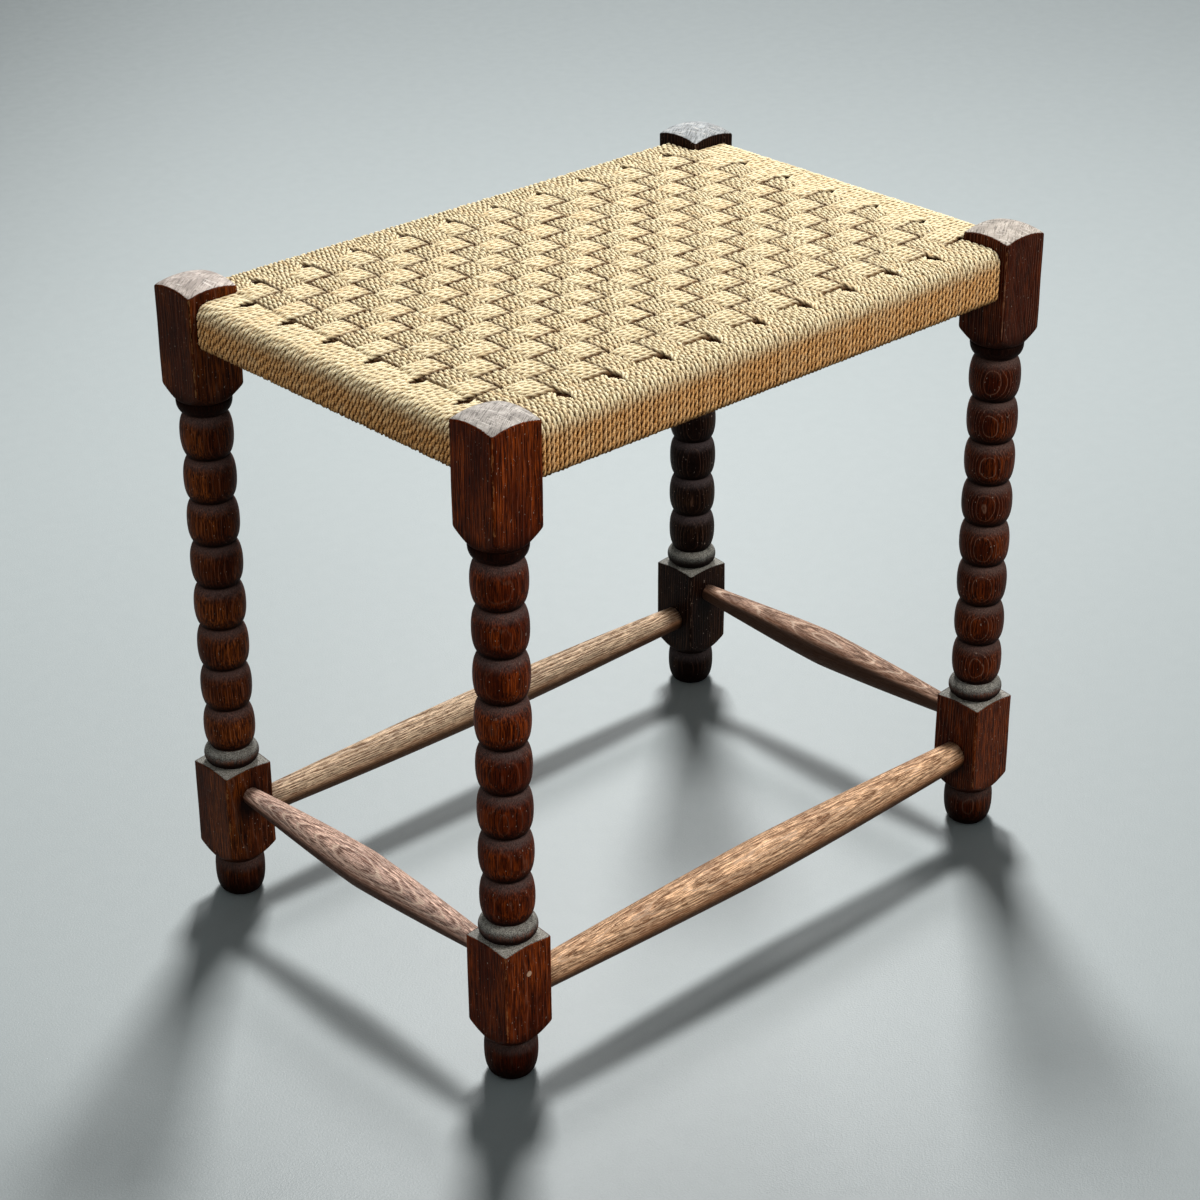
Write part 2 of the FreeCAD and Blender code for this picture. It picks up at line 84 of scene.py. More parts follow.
class Socket:
    """Output of a node, so that sums on it add Math nodes."""

    def __init__(self, shader, output):
        self.shader = shader
        self.output = output

    def math(self, operation, *values):
        return self.shader.node("Math", {"operation": operation}, dict(enumerate(values)))

    def __add__(self, other):
        return self.math("ADD", self, other)

    def __radd__(self, other):
        return self.math("ADD", other, self)

    def __sub__(self, other):
        return self.math("SUBTRACT", self, other)

    def __rsub__(self, other):
        return self.math("SUBTRACT", other, self)

    def __mul__(self, other):
        return self.math("MULTIPLY", self, other)

    def __rmul__(self, other):
        return self.math("MULTIPLY", other, self)

    def root(self):
        return self.math("SQRT", self)

    def fraction(self):
        return self.math("FRACT", self)

    def part(self, number):
        """One output of the same node, by its place."""
        return Socket(self.shader, self.output.node.outputs[number])


class Shader:
    """Material built from nodes that end in one Principled surface."""

    def __init__(self, name):
        self.material = bpy.data.materials.new(name)
        self.material.use_nodes = True
        self.tree = self.material.node_tree
        self.tree.nodes.clear()

    def node(self, kind, settings=None, values=None, output=0):
        """Add a node: its settings first, then the values or links of its sockets."""
        node = self.tree.nodes.new("ShaderNode" + kind)
        for name, setting in (settings or {}).items():
            setattr(node, name, setting)
        for name, value in (values or {}).items():
            if isinstance(value, Socket):
                self.tree.links.new(value.output, node.inputs[name])
            else:
                node.inputs[name].default_value = value
        return Socket(self, node.outputs[output] if node.outputs else None)

    def here(self):
        """The place on the object, in metres."""
        return self.node("TexCoord", output="Object")

    def place(self):
        """The same place as three numbers."""
        split = self.node("SeparateXYZ", values={0: self.here()})
        return split, split.part(1), split.part(2)

    def point(self, along_x, along_y, along_z):
        return self.node("CombineXYZ", values={0: along_x, 1: along_y, 2: along_z})

    def attribute(self, name):
        return self.node("Attribute", {"attribute_name": name}, output="Fac")

    def noise(self, vector, scale, detail=2.0, roughness=0.5):
        return self.node("TexNoise", values={
            "Vector": vector, "Scale": scale, "Detail": detail, "Roughness": roughness})

    def grain(self, side, up, along, stretch, shift, scale, detail=2.0, roughness=0.5):
        """Noise drawn out along the grain: the smaller the stretch, the longer its marks."""
        return self.noise(self.point(side, up, along * stretch + shift), scale, detail, roughness)

    def step(self, value, low, high):
        """Smooth step from 0 at low to 1 at high."""
        return self.node("MapRange", {"interpolation_type": "SMOOTHSTEP"}, {
            "Value": value, "From Min": low, "From Max": high})

    def mix(self, share, first, second):
        """The first colour, with a share of the second mixed in."""
        first, second = [(*item, 1.0) if isinstance(item, tuple) else item for item in (first, second)]
        settings = {"data_type": "RGBA", "clamp_factor": True}
        return self.node("Mix", settings, {0: share, 6: first, 7: second}, output=2)

    def bump(self, height, distance, strength):
        return self.node("Bump", values={"Height": height, "Distance": distance, "Strength": strength})

    def finish(self, **sockets):
        values = {name.replace("_", " "): value for name, value in sockets.items()}
        surface = self.node("BsdfPrincipled", values=values)
        self.node("OutputMaterial", values={"Surface": surface})
        return self.material


def times(colour, share):
    """A colour made darker or paler by a share."""
    return tuple(share * part for part in colour)


# Meshes

WAVE_COUNT, WAVE_SPREAD = 5, 3.0


def new_piece(name, places, quads, caps, material, shades, replaces):
    """Smooth mesh piece that rides on the stool. Each shade is one number per point."""
    mesh = bpy.data.meshes.new(name)
    mesh.vertices.add(len(places))
    mesh.vertices.foreach_set("co", np.asarray(places, np.float32).ravel())
    corners = np.concatenate([np.asarray(quads).ravel()] + [np.asarray(cap).ravel() for cap in caps])
    sizes = np.array([4] * len(quads) + [len(cap) for cap in caps])
    mesh.loops.add(len(corners))
    mesh.loops.foreach_set("vertex_index", corners.astype(np.int32))
    mesh.polygons.add(len(sizes))
    starts = np.concatenate([[0], np.cumsum(sizes)[:-1]])
    mesh.polygons.foreach_set("loop_start", starts.astype(np.int32))
    mesh.polygons.foreach_set("use_smooth", np.ones(len(sizes), bool))
    mesh.update(calc_edges=True)
    for shade, numbers in shades.items():
        layer = mesh.attributes.new(shade, "FLOAT", "POINT")
        layer.data.foreach_set("value", np.asarray(numbers, np.float32).ravel())
    mesh.materials.append(material)
    piece = bpy.data.objects.new(name, mesh)
    bpy.context.scene.collection.objects.link(piece)
    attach(piece, "root")
    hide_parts(*replaces)


def tube_faces(rows, around, start=0):
    """Faces of a tube of rings: the quads between the rings, and a cap at each end."""
    row = np.arange(rows - 1)[:, None] * around + start
    here = np.arange(around)[None, :]
    following = (here + 1) % around
    faces = [row + here, row + following, row + around + following, row + around + here]
    ring = np.arange(around) + start
    return np.stack(faces, -1).reshape(-1, 4), [ring[::-1], ring + (rows - 1) * around]


def waviness(seed, *axes):
    """Smooth unevenness between about -1 and 1 along the axes, from a few sines."""
    draw = np.random.default_rng(seed)
    total = 0.0
    for _ in range(WAVE_COUNT):
        phase = draw.uniform(0, 2 * math.pi)
        total = total + np.sin(sum(axis * draw.uniform(0.5, 1.6) for axis in axes) + phase)
    return total / WAVE_SPREAD


# Camera, floor and light

CAMERA_PLACE = Vector((-1.1091, -1.1988, 1.0460))
CAMERA_TARGET = Vector((-0.01992, -0.01193, 0.2074))
CAMERA_ROLL = math.radians(0.392)
CAMERA_VIEW = math.radians(24.406)


def make_camera():
    camera = bpy.data.objects.new("camera", bpy.data.cameras.new("camera"))
    camera.data.sensor_fit = "AUTO"
    camera.data.angle = CAMERA_VIEW
    forward = (CAMERA_TARGET - CAMERA_PLACE).normalized()
    level = forward.cross(Vector((0, 0, 1))).normalized()
    upright = level.cross(forward)
    right = level * math.cos(CAMERA_ROLL) - upright * math.sin(CAMERA_ROLL)
    above = upright * math.cos(CAMERA_ROLL) + level * math.sin(CAMERA_ROLL)
    turn = Matrix((right, above, -forward)).transposed().to_4x4()
    camera.matrix_world = Matrix.Translation(CAMERA_PLACE) @ turn
    bpy.context.scene.collection.objects.link(camera)
    bpy.context.scene.camera = camera


FLOOR_RADIUS, SWEEP_RADIUS, WALL_TOP = 3.2, 1.4, 3.0
FLOOR_RINGS = (0.02, 1.0, 2.0, FLOOR_RADIUS)
SWEEP_STEPS, FLOOR_SIDES = 16, 96
# Directions on the floor: towards its far corner and towards its left one.
AWAY, LEFTWARD = (0.68, 0.73), (-0.74, 0.67)
# Colours: the sheet, its painted shade far off and in the far left corner, its painted shadow on the near
# side, and its flecks.
SHEET_PALE, SHEET_FAR_SHADE, SHEET_CORNER_SHADE = (0.54, 0.590, 0.590), (0.36, 0.394, 0.398), (0.06, 0.066, 0.066)
SHEET_NEAR_SHADOW, SHEET_FLECK = (0.16, 0.176, 0.176), (0.75, 0.80, 0.79)


def floor_material():
    """Pale blue-grey sheet with a faint gloss; painted shade darkens it far off and most of all to the far
    left, and a painted shadow lies on its near side.
    """
    shader = Shader("studio_sheet")
    x, y, _ = shader.place()
    away = x * AWAY[0] + y * AWAY[1]
    leftward = x * LEFTWARD[0] + y * LEFTWARD[1]
    # Painted shade: darker far off and towards the far left corner.
    far = shader.step(away, 0.5, 2.3)
    corner = shader.step(leftward, 0.35, 1.3) * shader.step(away, 0.1, 1.3)
    colour = shader.mix(far, SHEET_PALE, SHEET_FAR_SHADE)
    colour = shader.mix(corner * 0.6, colour, SHEET_CORNER_SHADE)
    # Painted shadow on the near side of the sheet.
    colour = shader.mix(shader.step(away, -0.16, -0.42) * 0.30, colour, SHEET_NEAR_SHADOW)
    here = shader.here()
    grain = shader.noise(here, 700.0, 3.0, 0.7)
    mottle = shader.noise(here, 70.0, 3.0, 0.6)
    flecks = shader.step(grain * 0.65 + mottle * 0.35, 0.36, 0.64)
    colour = shader.mix(flecks * 0.10, colour, SHEET_FLECK)
    bump = shader.bump(grain, 0.0004, 0.5)
    return shader.finish(Base_Color=colour, Roughness=0.40, Specular_IOR_Level=0.35, Normal=bump)


def make_floor():
    """Round floor that turns up into a wall all round, well away from the stool."""
    rings = [(radius, 0.0) for radius in FLOOR_RINGS]
    for number in range(1, SWEEP_STEPS + 1):
        turn = math.radians(90) * number / SWEEP_STEPS
        rings.append((FLOOR_RADIUS + SWEEP_RADIUS * math.sin(turn), SWEEP_RADIUS * (1 - math.cos(turn))))
    rings.append((FLOOR_RADIUS + SWEEP_RADIUS, WALL_TOP))
    rings.reverse()
    turns = np.linspace(0, 2 * math.pi, FLOOR_SIDES, endpoint=False)
    places = [(radius * math.cos(turn), radius * math.sin(turn), height)
              for radius, height in rings for turn in turns]
    quads, (_, middle) = tube_faces(len(rings), FLOOR_SIDES)
    mesh = bpy.data.meshes.new("studio_sheet")
    mesh.from_pydata(places, [], quads.tolist() + [middle.tolist()])
    mesh.polygons.foreach_set("use_smooth", np.ones(len(mesh.polygons), bool))
    mesh.materials.append(floor_material())
    sheet = bpy.data.objects.new("studio_sheet", mesh)
    bpy.context.scene.collection.objects.link(sheet)


WHITE, WARM_WHITE = (1.0, 1.0, 1.0), (1.0, 0.95, 0.88)
LAMP_TARGET = Vector((0, 0, 0.25))
# Each lamp: its place, width, depth, power in watts and colour.
LAMPS = {
    "window": ((1.33, 1.37, 2.90), 0.60, 0.60, 92.0, WHITE),
    "low_window": ((2.26, 2.28, 2.38), 0.8, 0.8, 28.0, WHITE),
    "sky": ((0.0, -0.2, 2.6), 1.6, 1.6, 20.0, WHITE),
    "front_fill": ((0.75, -1.9, 2.0), 1.2, 1.2, 48.0, WARM_WHITE),
    "side_fill": ((-2.2, -0.9, 1.3), 1.2, 1.0, 11.0, WARM_WHITE),
}
SKY_COLOUR, SKY_STRENGTH = (0.93, 0.98, 1.0, 1.0), 0.17


def leave_out(lamp, prefix, shadows):
    """Keep a lamp's light, or only its shadows, off the objects whose names start so."""
    collection = bpy.data.collections.new(lamp.name + ("_shadows" if shadows else "_light"))
    for item in bpy.context.scene.objects:
        if item.name.startswith(prefix):
            collection.objects.link(item)
    if shadows:
        lamp.light_linking.blocker_collection = collection
    else:
        lamp.light_linking.receiver_collection = collection
    for entry in collection.collection_objects:
        entry.light_linking.link_state = "EXCLUDE"


def make_lamp(name, place, width, depth, power, tint):
    lamp = bpy.data.objects.new(name, bpy.data.lights.new(name, "AREA"))
    lamp.data.shape = "RECTANGLE"
    lamp.data.size = width
    lamp.data.size_y = depth
    lamp.data.energy = power
    lamp.data.color = tint
    lamp.location = place
    aim = LAMP_TARGET - Vector(place)
    lamp.rotation_euler = aim.to_track_quat("-Z", "Y").to_euler()
    bpy.context.scene.collection.objects.link(lamp)
    return lamp


def make_light():
    world = bpy.data.worlds.new("studio")
    bpy.context.scene.world = world
    world.use_nodes = True
    background = world.node_tree.nodes["Background"]
    background.inputs["Color"].default_value = SKY_COLOUR
    background.inputs["Strength"].default_value = SKY_STRENGTH
    lamps = {name: make_lamp(name, *lamp) for name, lamp in LAMPS.items()}
    leave_out(lamps["window"], "seat", True)
    for name in ("sky", "front_fill", "side_fill"):
        leave_out(lamps[name], "studio_sheet", False)
    bpy.context.scene.view_settings.view_transform = "Standard"


# Legs

FOOT_HEIGHT, FOOT_RADIUS, FOOT_BALL, FOOT_NECK = 27.7 * MM, 10.4 * MM, 16.9 * MM, 14.6 * MM
FOOT_BELLY_SHARE, FOOT_FULLNESS = 0.62, 2.3
LOW_LEAD, LOW_BLOCK, BLOCK_CROWN = 9.7 * MM, 63.1 * MM, 2.4 * MM
RING_HEIGHT, RING_RADIUS, RING_EDGE, RING_BELLY_SHARE = 12.9 * MM, 18.3 * MM, 13.4 * MM, 0.50
BOBBINS, BOBBIN_PITCH, BOBBIN_CORE, BOBBIN_BULGE, BOBBIN_REACH = 8, 30.0 * MM, 11.6 * MM, 5.4 * MM, 15.15 * MM
BOBBIN_FULLNESS = 2.2
NECK_HEIGHT, NECK_RADIUS = 8.4 * MM, 12.4 * MM
COLLAR_HEIGHT, COLLAR_RADIUS, COLLAR_CREASE = 1.7 * MM, 17.9 * MM, 1.3 * MM
TOP_LEAD, DOME_RISE = 8.5 * MM, 5.3 * MM
CLEAR = 2.0 * MM
DOME_SHARES = (1.075, 1.03, 0.99, 0.95, 0.9, 0.85, 0.8, 0.75, 0.7, 0.65, 0.58, 0.48, 0.36, 0.22, 0.08)
# Rows of points up each form of the leg.
FOOT_ROWS, LEAD_ROWS, BLOCK_ROWS, CROWN_ROWS, RING_ROWS, BOBBIN_ROWS, COLLAR_ROWS = 20, 16, 8, 14, 16, 19, 8
EDGE_WEAR, CROWN_WEAR, DOME_WEAR = 1.3 * MM, 2.2 * MM, 3.6 * MM
CORNER_WEAR = 0.0035
LEG_UNEVEN, UNEVEN_UP, UNEVEN_ROUND = 0.12 * MM, 90, 1.5
ROW_SLACK = 0.1 * MM
CREASE_DEPTH = 0.9 * MM
CORNER_POWER = 26
# Painted shade round the stretcher sockets: how far below them it centres, and between which distances it
# fades.
SOCKET_DROP, SOCKET_SHADE_REACH = 4.0 * MM, (6.0 * MM, 17.0 * MM)
FACE_STEPS = [0.0, 0.13, 0.26, 0.39, 0.52, 0.64, 0.75, 0.84, 0.905, 0.95, 0.98]
# Where old wax lies with a painted sheen on it, and where the leg takes painted shade: how much, and between
# which shares of the form's height.
BOBBIN_WAX_AND_SHEEN, SHOULDER_WAX_AND_SHEEN, FOOT_WAX_AND_SHEEN = (0.22, 0.40, 0.7), (0.68, 0.70, 1.0), (0.75, 0.55, 0.95)
BOBBIN_DARK, FOOT_DARK, RING_DARK = (1.0, 0.03, 0.34), (0.55, 0.1, 0.8), (1.0, 0.32, 0.64)
# Silted grime on the ring, paler towards its top as a painted highlight.
RING_SILT, RING_SILT_AND_SHEEN_TOP = 0.30, (0.45, 0.45, 0.85)
LOW_LEAD_DARK, TOP_LEAD_DARK, COLLAR_DARK, LEAD_REACH = 0.75, 0.80, 0.95, 1.3


def swell(base, height, low, high, belly, belly_share, steps, fullness=2.0):
    """Rounded swelling from a low radius out to its belly and in to a high radius."""
    points = []
    for number in range(steps + 1):
        share = (1 - math.cos(math.pi * number / steps)) / 2
        if share < belly_share:
            away = (belly_share - share) / belly_share
            end = low
        else:
            away = (share - belly_share) / (1 - belly_share)
            end = high
        out = max(0.0, 1 - away ** fullness) ** (1 / fullness)
        points.append((end + (belly - end) * out, base + height * share))
    return points


def bobbin_radius(offset):
    """Radius of a bobbin at a height above or below its middle."""
    share = abs(offset) / BOBBIN_REACH
    return BOBBIN_CORE + BOBBIN_BULGE * (1 - share ** BOBBIN_FULLNESS) ** (1 / BOBBIN_FULLNESS)


def leg_profile():
    """Lathe profile as rows (radius, height, width of the worn edge, how much dusting and painted sheen its
    upper side takes).
    """
    rows = []

    def add(points, wear, dust):
        rows.extend((radius, height, wear, dust) for radius, height in points)

    def straight(start, end, steps, first=0):
        return [tuple(a + (b - a) * number / steps for a, b in zip(start, end))
                for number in range(first, steps + 1)]

    add([(0.3 * FOOT_RADIUS, 0.0), (0.9 * FOOT_RADIUS, 0.0)], EDGE_WEAR, 0.0)
    add(swell(0.0, FOOT_HEIGHT, FOOT_RADIUS, FOOT_NECK, FOOT_BALL, FOOT_BELLY_SHARE, FOOT_ROWS,
              FOOT_FULLNESS), EDGE_WEAR, 0.3)
    slope = LOW_LEAD / (CORNER - FOOT_NECK)
    clear = CORNER + CLEAR
    lead_end = FOOT_HEIGHT + slope * (clear - FOOT_NECK)
    add(straight((FOOT_NECK, FOOT_HEIGHT), (clear, lead_end), LEAD_ROWS, 1), EDGE_WEAR, 0.0)

    block_top = FOOT_HEIGHT + LOW_LEAD + LOW_BLOCK
    crown = BLOCK_CROWN / (CORNER - RING_EDGE)
    crown_low = block_top - crown * (clear - RING_EDGE)
    add(straight((clear, lead_end), (clear, crown_low - 0.6 * MM), BLOCK_ROWS, 1), EDGE_WEAR, 0.0)
    add(straight((clear, crown_low), (RING_EDGE, block_top), CROWN_ROWS), CROWN_WEAR, 1.0)

    groove = bobbin_radius(BOBBIN_PITCH / 2)
    add(swell(block_top, RING_HEIGHT, RING_EDGE, groove, RING_RADIUS, RING_BELLY_SHARE, RING_ROWS),
        EDGE_WEAR, 0.9)
    base = block_top + RING_HEIGHT
    for _ in range(BOBBINS):
        for number in range(1, BOBBIN_ROWS):
            offset = -math.cos(math.pi * number / BOBBIN_ROWS) * BOBBIN_PITCH / 2
            rows.append((bobbin_radius(offset), base + BOBBIN_PITCH / 2 + offset, EDGE_WEAR, 0.45))
        base += BOBBIN_PITCH
        rows.append((groove, base, EDGE_WEAR, 0.2))

    collar = base + NECK_HEIGHT
    for number in range(1, COLLAR_ROWS + 1):
        share = number / COLLAR_ROWS
        rows.append((NECK_RADIUS + (COLLAR_RADIUS - NECK_RADIUS) * math.sqrt(1 - (1 - share) ** 2),
                     base + NECK_HEIGHT * share, EDGE_WEAR, 0.0))
    lead = collar + COLLAR_HEIGHT
    rows.append((COLLAR_RADIUS - 0.15 * COLLAR_CREASE, collar + 0.6 * COLLAR_HEIGHT, EDGE_WEAR, 0.0))
    rows.append((COLLAR_RADIUS - COLLAR_CREASE, lead - 0.15 * COLLAR_HEIGHT, EDGE_WEAR, 0.0))
    slope = TOP_LEAD / (CORNER - COLLAR_RADIUS)
    lead_end = lead + slope * (clear - COLLAR_RADIUS)
    add(straight((COLLAR_RADIUS, lead), (clear, lead_end), CROWN_ROWS), EDGE_WEAR, 0.0)

    corner_top = LEG_TOP - DOME_RISE
    dome = [CORNER * share for share in DOME_SHARES]
    dome_rows = [(radius, corner_top + DOME_RISE * (1 - (radius / CORNER) ** 2)) for radius in dome]
    add(straight((clear, lead_end), (clear, dome_rows[0][1] - 0.5 * MM), BLOCK_ROWS, 1), EDGE_WEAR, 0.0)
    add(dome_rows, DOME_WEAR, 1.0)
    rows = np.array(rows)
    moves = np.hypot(np.diff(rows[:, 0]), np.diff(rows[:, 1]))
    return rows[np.concatenate([[True], moves > 1e-6])]


def face_turns():
    """Angles round a leg, closest together near the corners of the square."""
    steps = sorted({-step for step in FACE_STEPS} | set(FACE_STEPS) | {1.0})
    face = np.arctan(np.array(steps))
    return np.concatenate([face + quarter * math.pi / 2 for quarter in range(4)])


def soft_minimum(first, second, width):
    """The lesser of two lengths, with the change between them eased over a width."""
    near = np.clip(1 - np.abs(first - second) / width, 0, 1)
    return np.minimum(first, second) - near * near * width / 4


def smooth(value, low, high):
    """Smooth step from 0 at low to 1 at high."""
    share = np.clip((value - low) / (high - low), 0, 1)
    return share * share * (3 - 2 * share)


def rising(value, strength, low, high):
    return strength * smooth(value, low, high)


def make_leg(name, axis, seed, material):
    """Leg turned from a square blank: everywhere the smaller of its turning and its square."""
    rows = leg_profile()
    turns = face_turns()
    radius, height, wear, dust_and_sheen_share = [rows[:, column][:, None] for column in range(4)]
    square = np.abs(np.cos(turns)) ** CORNER_POWER + np.abs(np.sin(turns)) ** CORNER_POWER
    square = np.broadcast_to(HALF_STOCK * square ** (-1 / CORNER_POWER), (len(rows), len(turns)))
    out = soft_minimum(np.broadcast_to(radius, square.shape), square, wear)
    uneven = waviness(seed, height * UNEVEN_UP, np.cos(turns)[None, :] * UNEVEN_ROUND,
                      np.sin(turns)[None, :] * UNEVEN_ROUND)
    out = out - LEG_UNEVEN * (1 + uneven) * np.minimum(1, out / FOOT_RADIUS)
    places = np.stack([axis[0] + out * np.cos(turns), axis[1] + out * np.sin(turns),
                       np.broadcast_to(height, out.shape)], -1)

    widening, climbing = np.gradient(rows[:, 0]), np.gradient(rows[:, 1])
    facing_up = np.clip(-widening / np.maximum(1e-9, np.hypot(widening, climbing)), 0, 1)[:, None]
    lying = smooth(facing_up, 0.12, 0.9)
    on_turning = smooth(square - radius, -0.4 * MM, 0.8 * MM)
    block_top = FOOT_HEIGHT + LOW_LEAD + LOW_BLOCK
    bobbins_low = block_top + RING_HEIGHT
    bobbins_high = bobbins_low + BOBBINS * BOBBIN_PITCH
    on_foot = height < FOOT_HEIGHT
    on_ring = (height > block_top - ROW_SLACK) & (height < bobbins_low - ROW_SLACK)
    on_bobbins = (height > bobbins_low - ROW_SLACK) & (height < bobbins_high)
    on_collar = (height >= bobbins_high) & (height < bobbins_high + NECK_HEIGHT + 0.9 * COLLAR_HEIGHT)
    place = ((height - bobbins_low) / BOBBIN_PITCH) % 1.0
    foot_place = height / FOOT_HEIGHT
    ring_place = (height - block_top) / RING_HEIGHT
    # Old wax on the bobbins and the foot, strongest at each bobbin's top edge as a painted sheen.
    film = np.where(on_bobbins, rising(place, *BOBBIN_WAX_AND_SHEEN) + rising(place, *SHOULDER_WAX_AND_SHEEN),
                    np.where(on_foot, rising(foot_place, *FOOT_WAX_AND_SHEEN), 0.0))
    film = film * np.ones_like(out)
    # Grey-green silted grime on the ring and the block tops, paler on the tops as a painted highlight.
    silt = np.where(on_ring, RING_SILT + rising(ring_place, *RING_SILT_AND_SHEEN_TOP),
                    np.where(height < bobbins_low, 0.9 * dust_and_sheen_share, 0.0) * lying * on_turning)
    # Dusting on the upward faces of the dome and the top, made paler as a painted reflection of the light
    # above.
    dust = dust_and_sheen_share * lying * on_turning * (height > bobbins_high)
    edge = np.exp(-((radius - square) / wear) ** 2) * (wear > 0)
    along_corner = np.exp(-((np.abs(np.sin(2 * turns)) - 1) / CORNER_WEAR) ** 2)[None, :]
    on_square = smooth(radius - square, 0.0, 1.0 * MM)
    worn = np.maximum(edge * 0.3 * (dust_and_sheen_share < 0.6) * ~on_collar, along_corner * on_square)
    # Painted shade: darker towards the bottoms of the bobbins, the foot and the ring, in the creases between
    # bobbins, on the collar and on the leads below both blocks.
    below = np.where(on_bobbins, 1 - rising(place, *BOBBIN_DARK),
                     np.where(on_foot, 1 - rising(foot_place, *FOOT_DARK),
                              (1 - rising(ring_place, *RING_DARK)) * on_ring))
    crease_shade = smooth(bobbin_radius(BOBBIN_PITCH / 2) + CREASE_DEPTH - radius, 0, CREASE_DEPTH) * on_bobbins
    collar_top = bobbins_high + NECK_HEIGHT + COLLAR_HEIGHT
    low_lead = 1 - smooth(height, FOOT_HEIGHT, FOOT_HEIGHT + LEAD_REACH * LOW_LEAD)
    top_lead = 1 - smooth(height, collar_top, collar_top + LEAD_REACH * TOP_LEAD)
    hollow = np.maximum.reduce([below, crease_shade, on_collar * COLLAR_DARK,
                                LOW_LEAD_DARK * low_lead * (height >= FOOT_HEIGHT),
                                TOP_LEAD_DARK * top_lead * (height > bobbins_high)]) * np.ones_like(out)

    quads, caps = tube_faces(len(rows), len(turns))
    shades = {"dust": dust, "silt": silt, "film": film, "worn": worn, "hollow": hollow}
    new_piece(name + "_turned", places.reshape(-1, 3), quads, caps, material, shades, [name])


def socket_shade(shader, here, axis):
    """How much painted shade the inner faces of a lower block take round the two stretchers, most of all
    below them.
    """
    grime = 0.0
    for number, side in enumerate((FRONT, LEFT)):
        low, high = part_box("stretcher_" + side)
        inward = (here[number] - axis[number]) * -math.copysign(1 / HALF_STOCK, axis[number])
        aside = here[1 - number] - axis[1 - number]
        rise = here[2] - ((low.z + high.z) / 2 - SOCKET_DROP)
        near = 1 - shader.step((aside * aside + rise * rise).root(), *SOCKET_SHADE_REACH)
        grime = near * shader.step(inward, 0.86, 0.96) + grime
    return grime


# Black of the stain in the pores, also used as painted shade.
BLACK_STAIN_AND_SHADE = (0.0035, 0.0010, 0.0005)
RING_RIM, SPECK = (0.17, 0.085, 0.055), (0.42, 0.32, 0.26)
# Grey-green silted grime, and the paler tone of the ledges, which is partly a painted highlight.
MOULD, LIT_LEDGE_MOULD = ((0.045, 0.046, 0.042), (0.20, 0.20, 0.185)), ((0.13, 0.125, 0.11), (0.44, 0.43, 0.39))
DUST_PATCH, DUST_SCORE, DUST_FLECK = (0.80, 0.76, 0.69), (0.80, 0.76, 0.70), (0.84, 0.80, 0.74)
DENT = (0.045, 0.036, 0.030)


